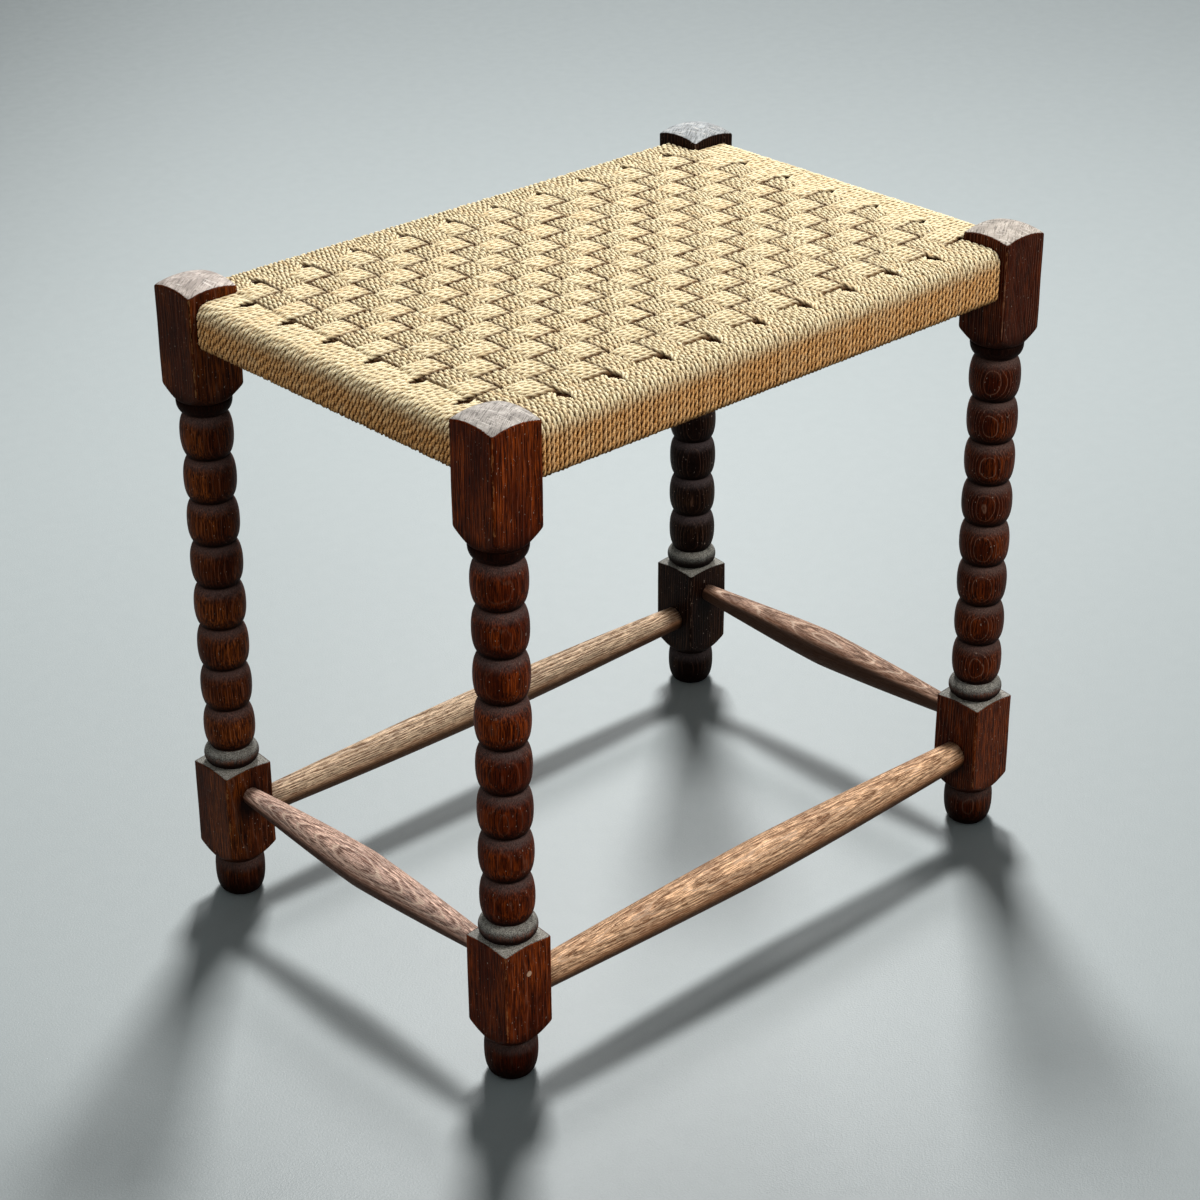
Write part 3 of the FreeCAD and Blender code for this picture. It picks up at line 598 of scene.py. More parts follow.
def leg_material(name, axis, grain, tint, bloom_and_sheen, streak, seed):
    """Dark stained oak: upright grain and open pores, orange where the stain is thin, wear, old wax and
    dusting with painted sheen and reflection on them, and painted shade in the hollows and round the sockets.
    """
    pith, ring_count, ring_drift, pale_rings = grain
    shader = Shader(name)
    x, y, z = shader.place()
    here = shader.here()
    across_x = x - (axis[0] + pith[0])
    across_y = y - (axis[1] + pith[1])
    drift = shader.grain(x, y, z, 0.14, seed, 42.0)
    wander = shader.grain(x, y, z, 0.35, seed, 120.0)
    distance = (across_x * across_x + across_y * across_y).root()
    rings = (distance * ring_count + drift * ring_drift + wander * 1.1).fraction()
    early = shader.step(rings, 0.0, 0.2) * (1 - shader.step(rings, 0.3, 0.85))
    streaks = shader.grain(x, y, z, 0.025, seed, 1200.0, 3.0, 0.70)
    fibres = shader.grain(x, y, z, 0.035, seed, 2300.0, 2.0, 0.6)
    pores = shader.grain(x, y, z, 0.05, 2 * seed, 2600.0, 1.0)
    pores = shader.step(pores, 0.52, 0.64) * (0.45 + early * 0.55)
    thin = shader.grain(x, y, z, 0.45, seed, 34.0, 3.0, 0.6)
    if streak:
        beside, low, high = streak
        aside = y - beside
        glow = 1 - shader.step((aside * aside).root(), 0.5 * MM, 4.0 * MM)
        glow = glow * shader.step(z, low, low + 0.02) * (1 - shader.step(z, high - 0.02, high))
        thin = thin + glow * 0.35

    # Greys of the old wax, also used for the painted sheen and the painted reflection on the dome.
    def paler(share, coolness=1.0):
        red, green, blue = times(bloom_and_sheen, share)
        return red, green * coolness, blue * coolness

    warm = (tint[0] * 3.4, tint[1] * 4.4, tint[2] * 3.0)
    colour = shader.mix(shader.step(streaks, 0.36, 0.60), times(tint, 0.22), tint)
    colour = shader.mix(early * 0.6, colour, times(tint, 0.35))
    bright = shader.step(streaks * 0.5 + fibres * 0.5, 0.45, 0.62) * shader.step(thin, 0.38, 0.66)
    colour = shader.mix(bright * 0.9, colour, warm)
    rims = shader.step(rings, 0.80, 0.9) * (1 - shader.step(rings, 0.93, 1.0))
    rims = rims * shader.step(fibres, 0.32, 0.52)
    colour = shader.mix(rims * pale_rings, colour, RING_RIM)
    colour = shader.mix(pores * 0.85, colour, BLACK_STAIN_AND_SHADE)

    worn = shader.attribute("worn")
    chips = shader.grain(x, y, z, 0.35, seed, 700.0, 3.0, 0.65)
    bare = shader.step(worn * 0.36 + chips * 0.75, 0.70, 0.84)
    colour = shader.mix(bare * 0.5, colour, (0.10 + 3 * tint[0], 0.05 + 8 * tint[1], 0.04 + 8 * tint[2]))
    specks = shader.grain(x, y, z, 0.5, seed, 900.0)
    colour = shader.mix(shader.step(specks, 0.70, 0.75) * 0.65, colour, SPECK)

    cloud = shader.noise(here, 300.0, 4.0, 0.65)
    film = shader.step(shader.attribute("film") + (cloud - 0.5) * 0.5, 0.12, 0.95)
    # Painted sheen over the old wax, palest grey at the tops of the bobbins.
    sheen = shader.mix(shader.step(fibres, 0.3, 0.7), paler(0.10, 0.72), paler(0.28, 0.74))
    colour = shader.mix(film * 0.8, colour, sheen)
    speckle = shader.noise(here, 1500.0, 3.0, 0.6)
    silt = shader.attribute("silt") + (cloud - 0.5) * 0.5
    # Palest where most lies, on the ring's top and the ledges: partly a painted highlight.
    ledge = shader.step(silt, 0.55, 0.95)
    mould, lit_mould = [shader.mix(shader.step(speckle, 0.36, 0.64), *pair) for pair in (MOULD, LIT_LEDGE_MOULD)]
    silt = shader.step(silt, 0.10, 0.75)
    colour = shader.mix(silt * 0.94, colour, shader.mix(ledge, mould, lit_mould))

    dust = shader.attribute("dust")
    patchy = shader.noise(here, 95.0, 3.0, 0.6)
    scored = shader.grain(y * 0.85 - x * 0.53, (x * 0.85 + y * 0.53) * 0.05, z, 0.05, seed, 1500.0, 3.0, 0.75)
    crossed = shader.grain(x * 0.97 + y * 0.24, (y * 0.97 - x * 0.24) * 0.06, z, 0.05, seed, 1300.0, 2.0, 0.6)
    dents = shader.grain(x, y, z, 1.0, seed, 520.0, 2.0, 0.55)
    grey = shader.mix(shader.step(patchy, 0.35, 0.65), paler(0.68), paler(1.08))
    grey = shader.mix(shader.step(patchy, 0.64, 0.72) * 0.75, grey, DUST_PATCH)
    grey = shader.mix(shader.step(scored, 0.50, 0.60) * 0.80, grey, paler(0.26))
    grey = shader.mix(shader.step(crossed, 0.60, 0.66) * 0.60, grey, DUST_SCORE)
    grey = shader.mix(shader.step(speckle, 0.58, 0.74) * 0.35, grey, DUST_FLECK)
    grey = shader.mix(shader.step(dents, 0.66, 0.72) * 0.8, grey, DENT)
    # Grey over the dome and the top: dusting and a painted reflection.
    cover = shader.step(dust + (cloud - 0.5) * 0.4, 0.10, 0.55)
    colour = shader.mix(cover * 0.95, colour, grey)
    hollow = shader.attribute("hollow")
    # Painted shade round the stretcher sockets.
    colour = shader.mix(socket_shade(shader, (x, y, z), axis) * 0.85, colour, BLACK_STAIN_AND_SHADE)
    # Painted shade in the hollows, creases and leads.
    colour = shader.mix(hollow * 0.95, colour, BLACK_STAIN_AND_SHADE)

    relief = pores * -0.6 + rings * 0.25 + fibres * 0.3 + cloud * 0.25
    shine = 0.38 + fibres * 0.12 + (film + silt + cover) * 0.2 + hollow * 0.2
    bump = shader.bump(relief, 0.0003, 0.6)
    return shader.finish(Base_Color=colour, Roughness=shine, Specular_IOR_Level=0.03, Normal=bump)


# Each leg: its grain (pith beside the middle, rings to a metre, how far they drift, how pale their
# rims are), stain, grey of its old wax, also used for painted sheen and reflection, orange streak (y, low,
# high) and noise offset.
LEG_FINISHES = {
    "leg_front_left": (((0.034, 0.046), 430.0, 6.0, 0.25), (0.092, 0.0125, 0.0017),
                       (0.42, 0.39, 0.36), (-0.1325, 0.375, 0.437), 1.7),
    "leg_front_right": (((0.036, 0.029), 1000.0, 2.0, 0.75), (0.062, 0.0090, 0.0017),
                        (0.46, 0.41, 0.36), (-0.159, 0.030, 0.115), 5.1),
    "leg_back_left": (((-0.018, 0.055), 430.0, 6.0, 0.30), (0.080, 0.0150, 0.0030),
                      (0.49, 0.43, 0.39), None, 8.3),
    "leg_back_right": (((-0.041, -0.038), 430.0, 6.0, 0.30), (0.013, 0.0045, 0.0028),
                       (0.39, 0.41, 0.42), None, 12.9),
}
LEG_SEED = 11


def make_legs():
    for number, (name, axis) in enumerate(LEGS.items()):
        make_leg(name, axis, LEG_SEED + number, leg_material(name + "_stain", axis, *LEG_FINISHES[name]))


# Stretchers

# Each stretcher's radius at the legs and at its belly, and how full its swell is: 1 is a plain taper.
SWELLS = {
    "stretcher_front": (9.8 * MM, 14.2 * MM, 1.45), "stretcher_back": (8.9 * MM, 12.5 * MM, 1.6),
    "stretcher_left": (6.2 * MM, 13.0 * MM, 1.25), "stretcher_right": (6.4 * MM, 13.0 * MM, 1.3),
}
STRETCHER_SIDES, STRETCHER_ROWS = 40, 72
STRETCHER_BITE, STRETCHER_UNEVEN = 3.0 * MM, 0.15 * MM
STRETCHER_SEED = 31
# Each stretcher: grain (pith sideways and upwards, rings to a metre, how far they drift, how pale
# their rims are), pale and dark wood, how silvery, noise offset, and between which slopes its side
# darkens with painted shade (-1 on top, 1 underneath).
STRETCHERS = {
    "stretcher_front": (((0.016, -0.026), 950.0, 2.2, 0.20), (1.0, 0.62, 0.37), (0.24, 0.085, 0.026),
                        0.10, 3.3, (-0.60, 0.55)),
    "stretcher_back": (((-0.012, -0.026), 700.0, 5.0, 0.5), (1.0, 0.72, 0.48), (0.22, 0.080, 0.026),
                       0.10, 7.9, (-0.60, 0.40)),
    "stretcher_left": (((0.018, -0.024), 1000.0, 1.4, 0.50), (1.0, 0.66, 0.52), (0.22, 0.090, 0.055),
                       0.30, 15.2, (-0.60, 0.22)),
    "stretcher_right": (((0.014, -0.028), 700.0, 5.0, 0.5), (0.72, 0.46, 0.33), (0.20, 0.085, 0.045),
                        0.20, 21.4, (-1.0, -0.30)),
}
OLD_GREY, PALE_RIM = (0.40, 0.36, 0.34), (0.90, 0.70, 0.54)


def make_stretcher(name, middle, along_x, seed, shaded, material):
    """Round rod that swells to its belly, from inside one leg to inside the next."""
    half = INNER_X if along_x else INNER_Y
    steps = np.linspace(-1, 1, STRETCHER_ROWS)
    reach = (half + STRETCHER_BITE) * steps
    share = np.clip(reach / half, -1, 1)
    end, belly, fullness = SWELLS[name]
    radius = end + (belly - end) * (1 - np.abs(share) ** fullness)
    turns = np.linspace(0, 2 * math.pi, STRETCHER_SIDES, endpoint=False)
    uneven = waviness(seed, steps[:, None] * 5, np.cos(turns)[None, :], np.sin(turns)[None, :])
    out = radius[:, None] - STRETCHER_UNEVEN * (1 + uneven)
    side, rise = out * np.cos(turns), out * np.sin(turns)
    along = np.broadcast_to(reach[:, None], out.shape)
    if along_x:
        places = np.stack([middle.x + along, middle.y + side, middle.z + rise], -1)
    else:
        places = np.stack([middle.x - side, middle.y + along, middle.z + rise], -1)
    # Darker towards both ends, where the rod goes into the legs.
    grime = np.broadcast_to(smooth(np.abs(share), 0.86, 1.0)[:, None], out.shape)
    # Painted shade: darker towards the underside.
    under = np.broadcast_to(smooth(-np.sin(turns), *shaded)[None, :], out.shape)
    quads, caps = tube_faces(STRETCHER_ROWS, STRETCHER_SIDES)
    shades = {"grime": grime, "under": under}
    places = places.reshape(-1, 3)
    new_piece(name + "_swelled", places, quads, caps, material, shades, [name])


def stretcher_material(name, middle, along_x, grain, pale, dark, silver, seed):
    """Worn raw oak: growth rings cut by the swell, long dark open pores, darker towards both ends, and
    painted shade towards the underside.
    """
    pith, ring_count, ring_drift, pale_rims = grain
    shader = Shader(name)
    x, y, z = shader.place()
    along, side, off = (x, y, middle.y) if along_x else (y, x, middle.x)
    across = side - (off + pith[0])
    rise = z - (middle.z + pith[1])
    drift = shader.grain(side, z, along, 0.10, seed, 46.0)
    wander = shader.grain(side, z, along, 0.4, seed, 160.0)
    distance = (across * across + rise * rise).root()
    rings = (distance * ring_count + drift * ring_drift + wander * 0.8).fraction()
    early = shader.step(rings, 0.0, 0.15) * (1 - shader.step(rings, 0.25, 0.7))
    fibres = shader.grain(side, z, along, 0.02, seed, 1300.0, 3.0, 0.65)
    pores = shader.grain(side, z, along, 0.07, 2 * seed, 1800.0, 2.5, 0.7)
    pores = shader.step(pores, 0.47, 0.55) * (0.65 + early * 0.35)
    patches = shader.grain(side, z, along, 0.4, seed, 42.0, 4.0, 0.65)

    deepest, russet_shade = times(dark, 0.22), times(dark, 1.6)
    colour = shader.mix(shader.step(fibres, 0.36, 0.60), times(pale, 0.42), pale)
    colour = shader.mix(early * 0.6, colour, times(pale, 0.34))
    rims = shader.step(rings, 0.78, 0.88) * (1 - shader.step(rings, 0.92, 1.0))
    colour = shader.mix(shader.step(patches, 0.46, 0.68) * silver, colour, OLD_GREY)
    scuffed = shader.step(patches, 0.54, 0.66) * shader.step(fibres, 0.40, 0.58)
    colour = shader.mix(scuffed * 0.6, colour, dark)
    colour = shader.mix(pores * 0.85, colour, times(dark, 0.5))
    colour = shader.mix(rims * pale_rims, colour, PALE_RIM)
    grime = shader.attribute("grime")
    under = shader.attribute("under")
    darker_ends = shader.step(grime + (patches - 0.5) * 0.8, 0.35, 1.0)
    colour = shader.mix(darker_ends * 0.75, colour, deepest)
    # Painted shade towards the underside: a russet brown, then the deepest brown.
    colour = shader.mix(shader.step(under, 0.0, 0.6) * 0.5, colour, russet_shade)
    colour = shader.mix(shader.step(under + (fibres - 0.5) * 0.4, 0.30, 0.95) * 0.95, colour, deepest)
    relief = pores * -0.8 + rings * 0.3 + fibres * 0.35
    shine = 0.55 + fibres * 0.15 + pores * 0.15
    bump = shader.bump(relief, 0.0005, 0.9)
    return shader.finish(Base_Color=colour, Roughness=shine, Specular_IOR_Level=0.12, Normal=bump)


def make_stretchers():
    for number, (name, (grain, pale, dark, silver, seed, shaded)) in enumerate(STRETCHERS.items()):
        low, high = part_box(name)
        middle, along_x = (low + high) / 2, high.x - low.x > high.y - low.y
        material = stretcher_material(name + "_oak", middle, along_x, grain, pale, dark, silver, seed)
        make_stretcher(name, middle, along_x, STRETCHER_SEED + number, shaded, material)


# Seat of twisted cord

CORD = 3.2 * MM
CORDS_PER_BAND = 6
LAST_SLOT = (CORDS_PER_BAND - 1) / 2
COLUMNS, ROWS = 20, 12
LAY = 11.5 * MM
PLY_SIDES = 8
# Half widths of the cord round one ply and the groove beside it, as shares of its radius.
SECTION_SHARES = [1.0, 0.93, 0.46, 0.93, 1.0, 0.93, 0.46, 0.93]
SECTION_TURNS = [0, 46, 90, 134, 180, 226, 270, 314]
TOP_STEP, LOW_STEP = 1.44 * MM, 2.6 * MM
FINE_STEP, BEND_POINTS = 0.4 * MM, 14
RIM_GAP = 0.1 * MM
TOP_ROUND, LOW_ROUND = 6.0 * MM, 3.5 * MM
CROSSING_LIFT = 1.75 * MM
CROSSING_SOFTNESS = 0.16
SQUEEZE, PINCH = 0.97, 0.06
CROWN, WOVEN_FADE = 0.3 * MM, 6.0 * MM
SIDE_WANDER, SIDE_WAVES = 0.24 * MM, 70
RISE_WANDER, RISE_WAVES = 0.20 * MM, 90
CORD_FULLNESS, CORD_UNEVEN, CORD_WAVES = 1.03, 0.03, 0.05
BOW = {LEFT: 5.5 * MM, RIGHT: 1.5 * MM, FRONT: 7.0 * MM, BACK: 4.0 * MM}
BOW_FADE, BOW_POWER, BOW_TRIES = 32.0 * MM, 5, 3
SLIT, SLIT_WIDTH, SLIT_LENGTH = 5.4 * MM, 5.0 * MM, 5.5 * MM
SLIT_PLACE = {LEFT: 8.0 * MM, RIGHT: 3.0 * MM, FRONT: 10.0 * MM, BACK: 6.0 * MM}
SLIT_SHADE = (2.6 * MM, 6.5 * MM)
# The outer cord of a band takes painted shade down its side, on its far side less so: between which
# slots, between which slopes, and how much on the far side.
OUTER_SLOT, EDGE_SHADE, FAR_EDGE = (1.9, LAST_SLOT), (-0.10, 0.70), 0.25


class Weave:
    """One of the two sets of cord, seen along its own run: u along the cords, v across them."""

    def __init__(self, along_x):
        self.along_x = along_x
        low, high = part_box("seat_rail_right" if along_x else "seat_rail_back")
        self.rail_low, self.rail_top = low.z, high.z
        if along_x:
            self.node, self.bands, self.crossings = "seat_weft", ROWS, COLUMNS
            self.run, self.width, self.face = INNER_X, INNER_Y, high.x
            sides, ends = (FRONT, BACK), (LEFT, RIGHT)
        else:
            self.node, self.bands, self.crossings = "seat_warp", COLUMNS, ROWS
            self.run, self.width, self.face = INNER_Y, INNER_X, high.y
            sides, ends = (LEFT, RIGHT), (FRONT, BACK)
        self.bows = [BOW[side] for side in sides]
        self.crossing_bows = [BOW[side] for side in ends]
        self.slit_places = [SLIT_PLACE[side] for side in ends]
        self.pitch = 2 * self.width / self.bands
        if along_x:
            self.low_slits = [INNER_Y - self.pitch * edge for edge in range(1, ROWS, 2)]
            self.high_slits = [INNER_Y - self.pitch * edge for edge in range(2, ROWS + 1, 2)]
        else:
            self.low_slits = [-INNER_X + self.pitch * edge for edge in range(2, COLUMNS, 2)]
            self.high_slits = [-INNER_X + self.pitch * edge for edge in range(1, COLUMNS, 2)]

    def slits(self):
        """The slits at both ends of the cords: where across them, at which end and how far in."""
        return (self.low_slits, -1, self.slit_places[0]), (self.high_slits, 1, self.slit_places[1])


def slit_shade(other, along, across):
    """How much a cord lies in the dark of the slits between bands of the other set."""
    shade = np.zeros_like(along)
    for slits, edge, place in other.slits():
        beside = np.exp(-((across - edge * (other.run + place)) / SLIT_SHADE[1]) ** 2)
        for slit in slits:
            shade = np.maximum(shade, beside * np.exp(-((along - slit) / SLIT_SHADE[0]) ** 2))
    return shade


def bow(place, along, half_place, half_along, low, high):
    """How far a cord at a place across the seat is pushed outwards, at a point along it."""
    hold = np.clip(1 - np.abs(along / half_along) ** BOW_POWER, 0, 1)
    towards_low = low * np.exp(-(place + half_place) / BOW_FADE)
    towards_high = high * np.exp(-(half_place - place) / BOW_FADE)
    return hold * (towards_high - towards_low)


def crossing_height(along, across, start_over, weave):
    """Height of a cord, 1 over the crossing band, -1 under it and 0 on the rails, and its plain wave."""
    straight = along
    for _ in range(BOW_TRIES):
        straight = along - bow(straight, across, weave.run, weave.width, *weave.crossing_bows)
    inside = np.clip((weave.run + straight) / (2 * weave.run), 0, 1)
    wave = np.sin(math.pi * weave.crossings * inside)
    eased = wave / np.sqrt(wave * wave + CROSSING_SOFTNESS ** 2) * math.sqrt(1 + CROSSING_SOFTNESS ** 2)
    return start_over * eased, wave


def loop_line(face, low, top, half_flat):
    """Closed middle line of a cord round two rails as dense points (u, z), from under the low side."""
    out = RIM_GAP + CORD / 2
    high_bend, low_bend = TOP_ROUND + out, LOW_ROUND + out

    def quarter(centre_u, centre_z, radius, start):
        turns = np.radians(np.linspace(start, start - 90, BEND_POINTS))
        return np.stack([centre_u + radius * np.cos(turns), centre_z + radius * np.sin(turns)], 1)

    flat = np.arange(-half_flat, half_flat, FINE_STEP)
    low_left = quarter(-face + LOW_ROUND, low + LOW_ROUND, low_bend, 270)
    top_left = quarter(-face + TOP_ROUND, top - TOP_ROUND, high_bend, 180)
    upper = np.stack([flat, np.full_like(flat, top + out)], 1)
    top_right = quarter(face - TOP_ROUND, top - TOP_ROUND, high_bend, 90)
    low_right = quarter(face - LOW_ROUND, low + LOW_ROUND, low_bend, 0)
    under = np.stack([np.array([face - LOW_ROUND, -face + LOW_ROUND]), np.full(2, low - out)], 1)
    return np.concatenate([low_left, top_left, upper, top_right, low_right, under])


def spaced(points, shades, step_at):
    """Points and shades at uneven steps along a line: step_at gives the step wanted at each point."""
    steps = np.linalg.norm(np.diff(points, axis=0), axis=1)
    wanted = (step_at[1:] + step_at[:-1]) / 2
    count = np.concatenate([[0], np.cumsum(steps / wanted)])
    even = np.linspace(0, count[-1], int(round(count[-1])) + 1)
    places = np.stack([np.interp(even, count, points[:, axis]) for axis in range(3)], 1)
    return places, *(np.interp(even, count, shade) for shade in shades)


def make_cord_turn(points, across_axis, start_phase, lay, radius):
    """Rings of one turn of two-ply cord round its middle line, how far each point faces outwards and
    aside, the length so far, and the twist at the end."""
    run = np.gradient(points, axis=0)
    run /= np.linalg.norm(run, axis=1)[:, None]
    outward = np.cross(across_axis, run)
    outward /= np.linalg.norm(outward, axis=1)[:, None]
    beside = np.cross(run, outward)
    steps = np.linalg.norm(np.diff(points, axis=0), axis=1)
    length = np.concatenate([[0], np.cumsum(steps)])
    twist = start_phase + 2 * math.pi * length / lay
    angle = twist[:, None] + np.radians(SECTION_TURNS)[None, :]
    out = radius[:, None] * np.array(SECTION_SHARES)[None, :]
    rings = (points[:, None, :] + (out * np.cos(angle))[:, :, None] * outward[:, None, :]
             + (out * np.sin(angle))[:, :, None] * beside[:, None, :])
    return rings, np.cos(angle), np.sin(angle), length, twist[-1]


def make_band(name, weave, band, phase, draw, material):
    """One band of six turns of cord. Returns the twist that the next band starts with."""
    def wander(along):
        return waviness(int(draw.integers(1 << 30)), along)

    along_x = weave.along_x
    places, quads, caps = [], [], []
    shades = {"along": [], "groove": [], "deep": [], "tone": [], "tucked": []}
    start = 0
    across_axis = np.array([0.0, -1.0, 0.0]) if along_x else np.array([1.0, 0.0, 0.0])
    cord_pitch = weave.pitch / CORDS_PER_BAND
    sign = 1 if (band % 2 == 1) == along_x else -1
    line = loop_line(weave.face, weave.rail_low, weave.rail_top, weave.face - TOP_ROUND)
    upper = line[:, 1] > weave.rail_low
    for cord in range(CORDS_PER_BAND):
        slot = cord - LAST_SLOT
        centre = -weave.width + (band + 0.5) * weave.pitch
        u = line[:, 0]
        height, wave = crossing_height(u, centre, sign, weave)
        on_top = (line[:, 1] > weave.rail_top).astype(float)
        height = height * on_top
        woven = on_top * smooth(weave.run + WOVEN_FADE - np.abs(u), 0, 2 * WOVEN_FADE)
        squeeze = 1 - woven * ((1 - SQUEEZE) + PINCH * (1 - wave * wave))
        v = centre + slot * cord_pitch * squeeze
        v = v + bow(v, u, weave.width, weave.run, *weave.bows) * on_top
        for slits, edge, place in weave.slits():
            near = on_top * np.exp(-((u - edge * (weave.run + place)) / SLIT_LENGTH) ** 2)
            for slit in slits:
                gap = (centre + slot * cord_pitch) - slit
                v = v + SLIT * np.sign(gap) * math.exp(-abs(gap) / SLIT_WIDTH) * near
        v = v + SIDE_WANDER * wander(u * SIDE_WAVES) * upper
        drop = CROWN * (slot / LAST_SLOT) ** 2 * woven * (height > 0)
        z = line[:, 1] + CROSSING_LIFT * height - drop
        z = z + RISE_WANDER * wander(u * RISE_WAVES) * on_top
        v[-1] += cord_pitch
        points = np.stack([u, v, z], 1) if along_x else np.stack([v, u, z], 1)
        step_at = np.where(upper, TOP_STEP, LOW_STEP)
        # Painted shade where a cord dips under the crossing band, beside the slits and along the rim's lower
        # edge.
        falling = 0.24 + 0.70 * smooth(-np.gradient(height), 0.0, 0.002)
        tuck_shade = woven * np.maximum(smooth(0.40 - np.abs(wave), 0, 0.34) * falling, smooth(-height, 0.0, 0.3))
        tuck_shade = np.maximum(tuck_shade, on_top * slit_shade(weave.other, u, v))
        tuck_shade = np.maximum(tuck_shade, 1 - smooth(line[:, 1] - weave.rail_low, -2.0 * MM, 4.5 * MM))
        over = woven * smooth(height, -0.2, 0.5)
        points, tuck_shade, over = spaced(points, (tuck_shade, over), step_at)
        uneven = CORD_UNEVEN * wander(np.arange(len(points)) * CORD_WAVES)
        radius = CORD / 2 * CORD_FULLNESS * (1 + uneven)
        lay = LAY * draw.uniform(0.95, 1.05)
        rings, facing, aside, length, phase = make_cord_turn(points, across_axis, phase, lay, radius)
        rows = len(rings)
        places.append(rings.reshape(-1, 3))
        faces, ends = tube_faces(rows, PLY_SIDES, start)
        quads.append(faces)
        caps += ends
        shades["along"].append(np.repeat(length, PLY_SIDES))
        shades["groove"].append(np.tile(1 - np.array(SECTION_SHARES), rows) / (1 - min(SECTION_SHARES)))
        # Painted shade on the flanks of a cord that face into the seat.
        shades["deep"].append(smooth(-facing, -0.50, 0.25).ravel())
        shades["tone"].append(np.full(rows * PLY_SIDES, draw.uniform(0, 1)))
        # Painted shade down the outer side of a band's edge cords.
        near_side = aside if along_x else -aside
        outer = np.maximum(smooth(-slot, *OUTER_SLOT) * smooth(near_side, *EDGE_SHADE),
                           FAR_EDGE * smooth(slot, *OUTER_SLOT) * smooth(-near_side, *EDGE_SHADE))
        outer = outer * np.clip(0.74 + 0.34 * waviness(200 + band, length * 60), 0.1, 1)[:, None]
        shades["tucked"].append(np.maximum(tuck_shade[:, None], outer * over[:, None]).ravel())
        start += rows * PLY_SIDES
    shades = {shade: np.concatenate(numbers) for shade, numbers in shades.items()}
    places, quads = np.concatenate(places), np.concatenate(quads)
    new_piece(name, places, quads, caps, material, shades, [weave.node])
    return phase


# Colours on the sides, and paler ones on top where light has faded the cord; the sides are also
# darker and warmer as painted shade.
STRAW, BLEACHED_STRAW = (0.97, 0.56, 0.23), (0.86, 0.765, 0.53)
SHADOWED, BLEACHED_SHADOWED = (0.50, 0.225, 0.060), (0.52, 0.395, 0.205)
CREASE_SHADE, BLEACHED_CREASE_SHADE = (0.060, 0.015, 0.003), (0.14, 0.075, 0.027)
# Pale blotches, rusty cords, and the colour of the painted shade at dips and edges.
PALE_BLOTCH, RUSTY_CORD, TUCKED_SHADE = (0.95, 0.84, 0.55), (0.84, 0.58, 0.32), (0.085, 0.030, 0.007)
BLEACH_RISE = (0.417, 0.430)


def cord_material():
    """Pale twisted grass cord: long fibres, uneven tone, and painted shade in the grooves between the plies,
    on the flanks, where cords dip, beside the slits and along band edges.
    """
    shader = Shader("straw_cord")
    x, y, z = shader.place()
    here = shader.here()
    tone, groove, deep, along, tucked = map(shader.attribute, ("tone", "groove", "deep", "along", "tucked"))
    around = x * 900.0 + y * 900.0 + z * 1400.0
    fibres = shader.noise(shader.point(along * 220.0, tone * 900.0, around), 1.0, 3.0, 0.6)
    blotches = shader.noise(here, 120.0, 3.0, 0.6)
    # Paler on top, where light has faded the cord; the sides darker and warmer as painted shade, with more
    # painted shade in their grooves and flanks.
    bleached_lit_top = shader.step(z, *BLEACH_RISE)
    straw = shader.mix(bleached_lit_top, STRAW, BLEACHED_STRAW)
    shadowed = shader.mix(bleached_lit_top, SHADOWED, BLEACHED_SHADOWED)
    colour = shader.mix(shader.step(fibres, 0.32, 0.60), shadowed, straw)
    colour = shader.mix(shader.step(blotches, 0.5, 0.75) * 0.25, colour, PALE_BLOTCH)
    colour = shader.mix(shader.step(tone, 0.6, 1.0) * 0.3, colour, RUSTY_CORD)
    # Painted shade in the grooves between plies and on the flanks.
    crease_shade = shader.mix(bleached_lit_top, CREASE_SHADE, BLEACHED_CREASE_SHADE)
    colour = shader.mix(shader.step(groove, 0.15, 0.95) * (0.95 - bleached_lit_top * 0.15), colour, crease_shade)
    colour = shader.mix(deep * (0.92 - bleached_lit_top * 0.24), colour, crease_shade)
    # Painted shade at the dips, slits, lower edge and band edges.
    colour = shader.mix(tucked * 0.92, colour, TUCKED_SHADE)
    shine = 0.62 + fibres * 0.2
    bump = shader.bump(fibres, 0.00025, 0.6)
    return shader.finish(Base_Color=colour, Roughness=shine, Specular_IOR_Level=0.05, Normal=bump)


# Hidden and small pieces

RAIL_DARK, RAIL_PALE, RAIL_LINE = (0.10, 0.052, 0.024), (0.22, 0.13, 0.07), (0.05, 0.024, 0.012)
STEEL, RUST = (0.13, 0.13, 0.14), (0.20, 0.08, 0.03)
PEG_DARK, PEG_PALE = (0.30, 0.15, 0.08), (0.62, 0.42, 0.28)
PEG_PORE, PEG_RIM = (0.10, 0.04, 0.02), (0.07, 0.02, 0.008)
PEG_EDGE = (1.5 * MM, 2.1 * MM)


def rail_material(name, along_x, seed):
    """Raw riven oak with coarse grain along the rail."""
    shader = Shader(name)
    x, y, z = shader.place()
    along, side = (x, y) if along_x else (y, x)
    coarse = shader.grain(side, z, along, 0.06, seed, 260.0, 3.0, 0.6)
    fine = shader.grain(side, z, along, 0.03, seed, 1500.0, 2.0, 0.6)
    colour = shader.mix(shader.step(coarse, 0.35, 0.65), RAIL_DARK, RAIL_PALE)
    colour = shader.mix(shader.step(fine, 0.55, 0.7) * 0.6, colour, RAIL_LINE)
    return shader.finish(Base_Color=colour, Roughness=0.7 + fine * 0.1, Normal=shader.bump(fine, 0.0004, 0.6))


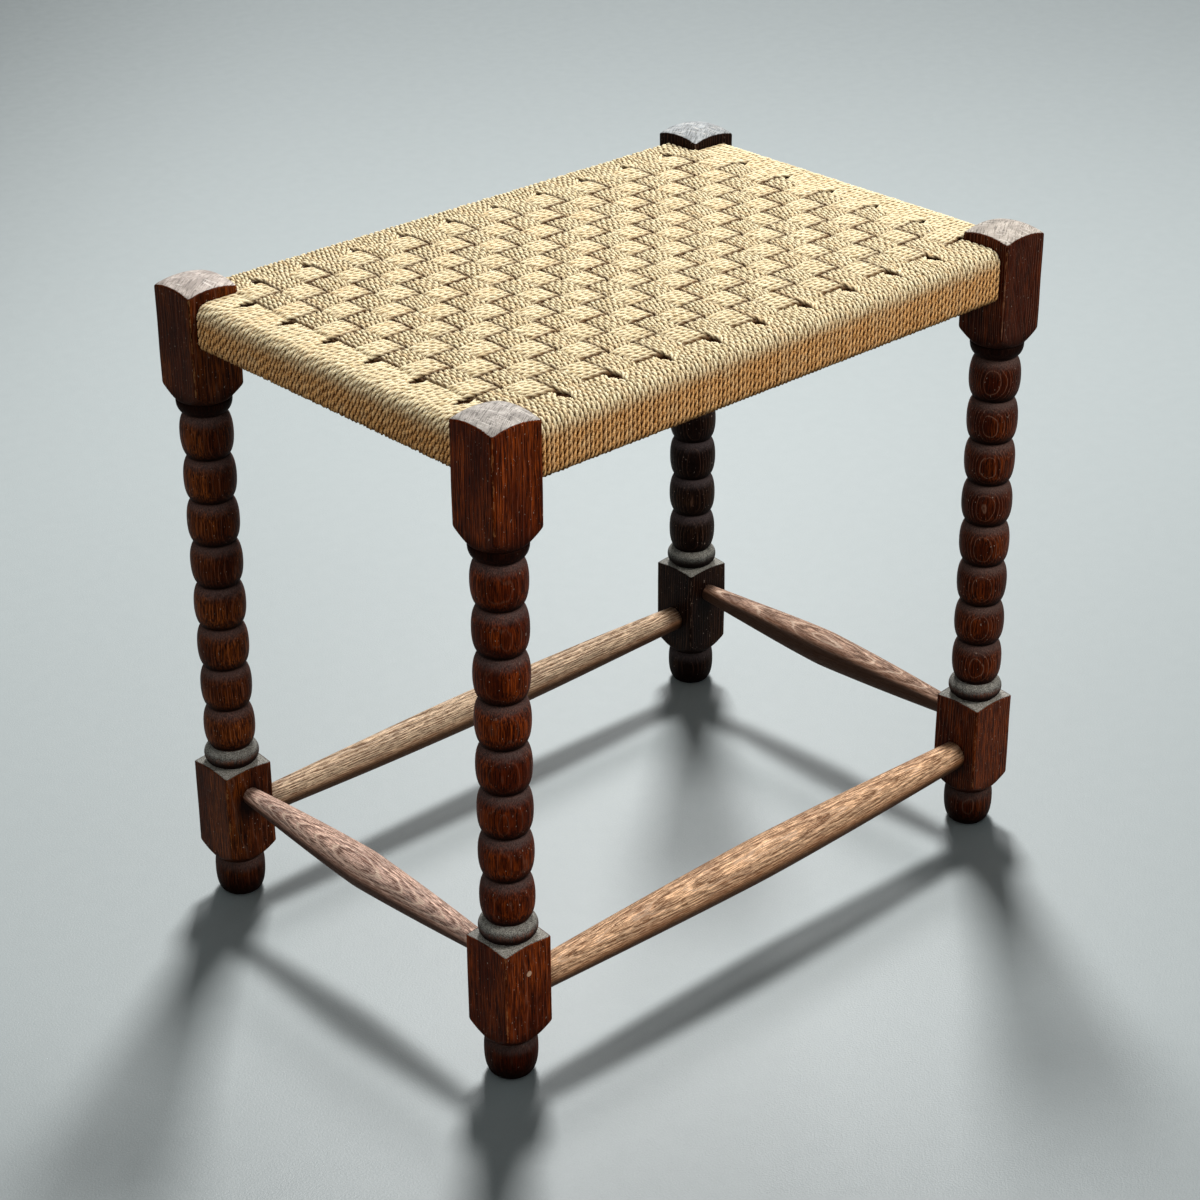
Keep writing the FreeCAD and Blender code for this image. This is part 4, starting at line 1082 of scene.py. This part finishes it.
def tack_material():
    """Blued steel, dulled and spotted with a little rust."""
    shader = Shader("blued_tack")
    spots = shader.noise(shader.here(), 1800.0, 3.0, 0.6)
    rust = shader.step(spots, 0.55, 0.7)
    colour = shader.mix(rust * 0.7, STEEL, RUST)
    return shader.finish(Base_Color=colour, Metallic=0.85 - rust * 0.7, Roughness=0.4 + rust * 0.35)


def peg_material():
    """Pale end grain of the peg, with its pores as dark dots and a worn brown rim."""
    shader = Shader("peg_end_grain")
    x, y, z = shader.place()
    low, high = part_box("tenon_peg")
    off_x, off_z = x - (low.x + high.x) / 2, z - (low.z + high.z) / 2
    distance = (off_x * off_x + off_z * off_z).root()
    end_grain = shader.point(x, y * 0.1, z)
    dots = shader.step(shader.noise(end_grain, 3200.0, 1.0), 0.56, 0.68)
    cloud = shader.noise(end_grain, 900.0, 3.0, 0.6)
    colour = shader.mix(cloud, PEG_DARK, PEG_PALE)
    colour = shader.mix(dots * 0.7, colour, PEG_PORE)
    colour = shader.mix(shader.step(distance, *PEG_EDGE) * 0.8, colour, PEG_RIM)
    bump = shader.bump(cloud, 0.0002, 0.5)
    return shader.finish(Base_Color=colour, Roughness=0.55 + dots * 0.2, Normal=bump)


def finish_kept_nodes():
    """New materials for the solids that stay as the frame has them."""
    finishes = {"cord_tacks": tack_material(), "tenon_peg": peg_material()}
    for seed, side in enumerate((FRONT, BACK, LEFT, RIGHT)):
        name = "seat_rail_" + side
        finishes[name] = rail_material(name + "_oak", side in (FRONT, BACK), 4.0 * seed)
    for name, material in finishes.items():
        for slot in frame["nodes"][name].material_slots:
            slot.material = material


SEAT_SEED = 5


def make_seat():
    material = cord_material()
    draw = np.random.default_rng(SEAT_SEED)
    across, along = Weave(False), Weave(True)
    across.other, along.other = along, across
    for name, weave in (("seat_cord_across", across), ("seat_cord_along", along)):
        phase = 0.0
        for band in range(weave.bands):
            phase = make_band(f"{name}_{band + 1:02d}", weave, band, phase, draw, material)


make_camera()
make_floor()
make_legs()
make_stretchers()
make_seat()
finish_kept_nodes()
make_light()
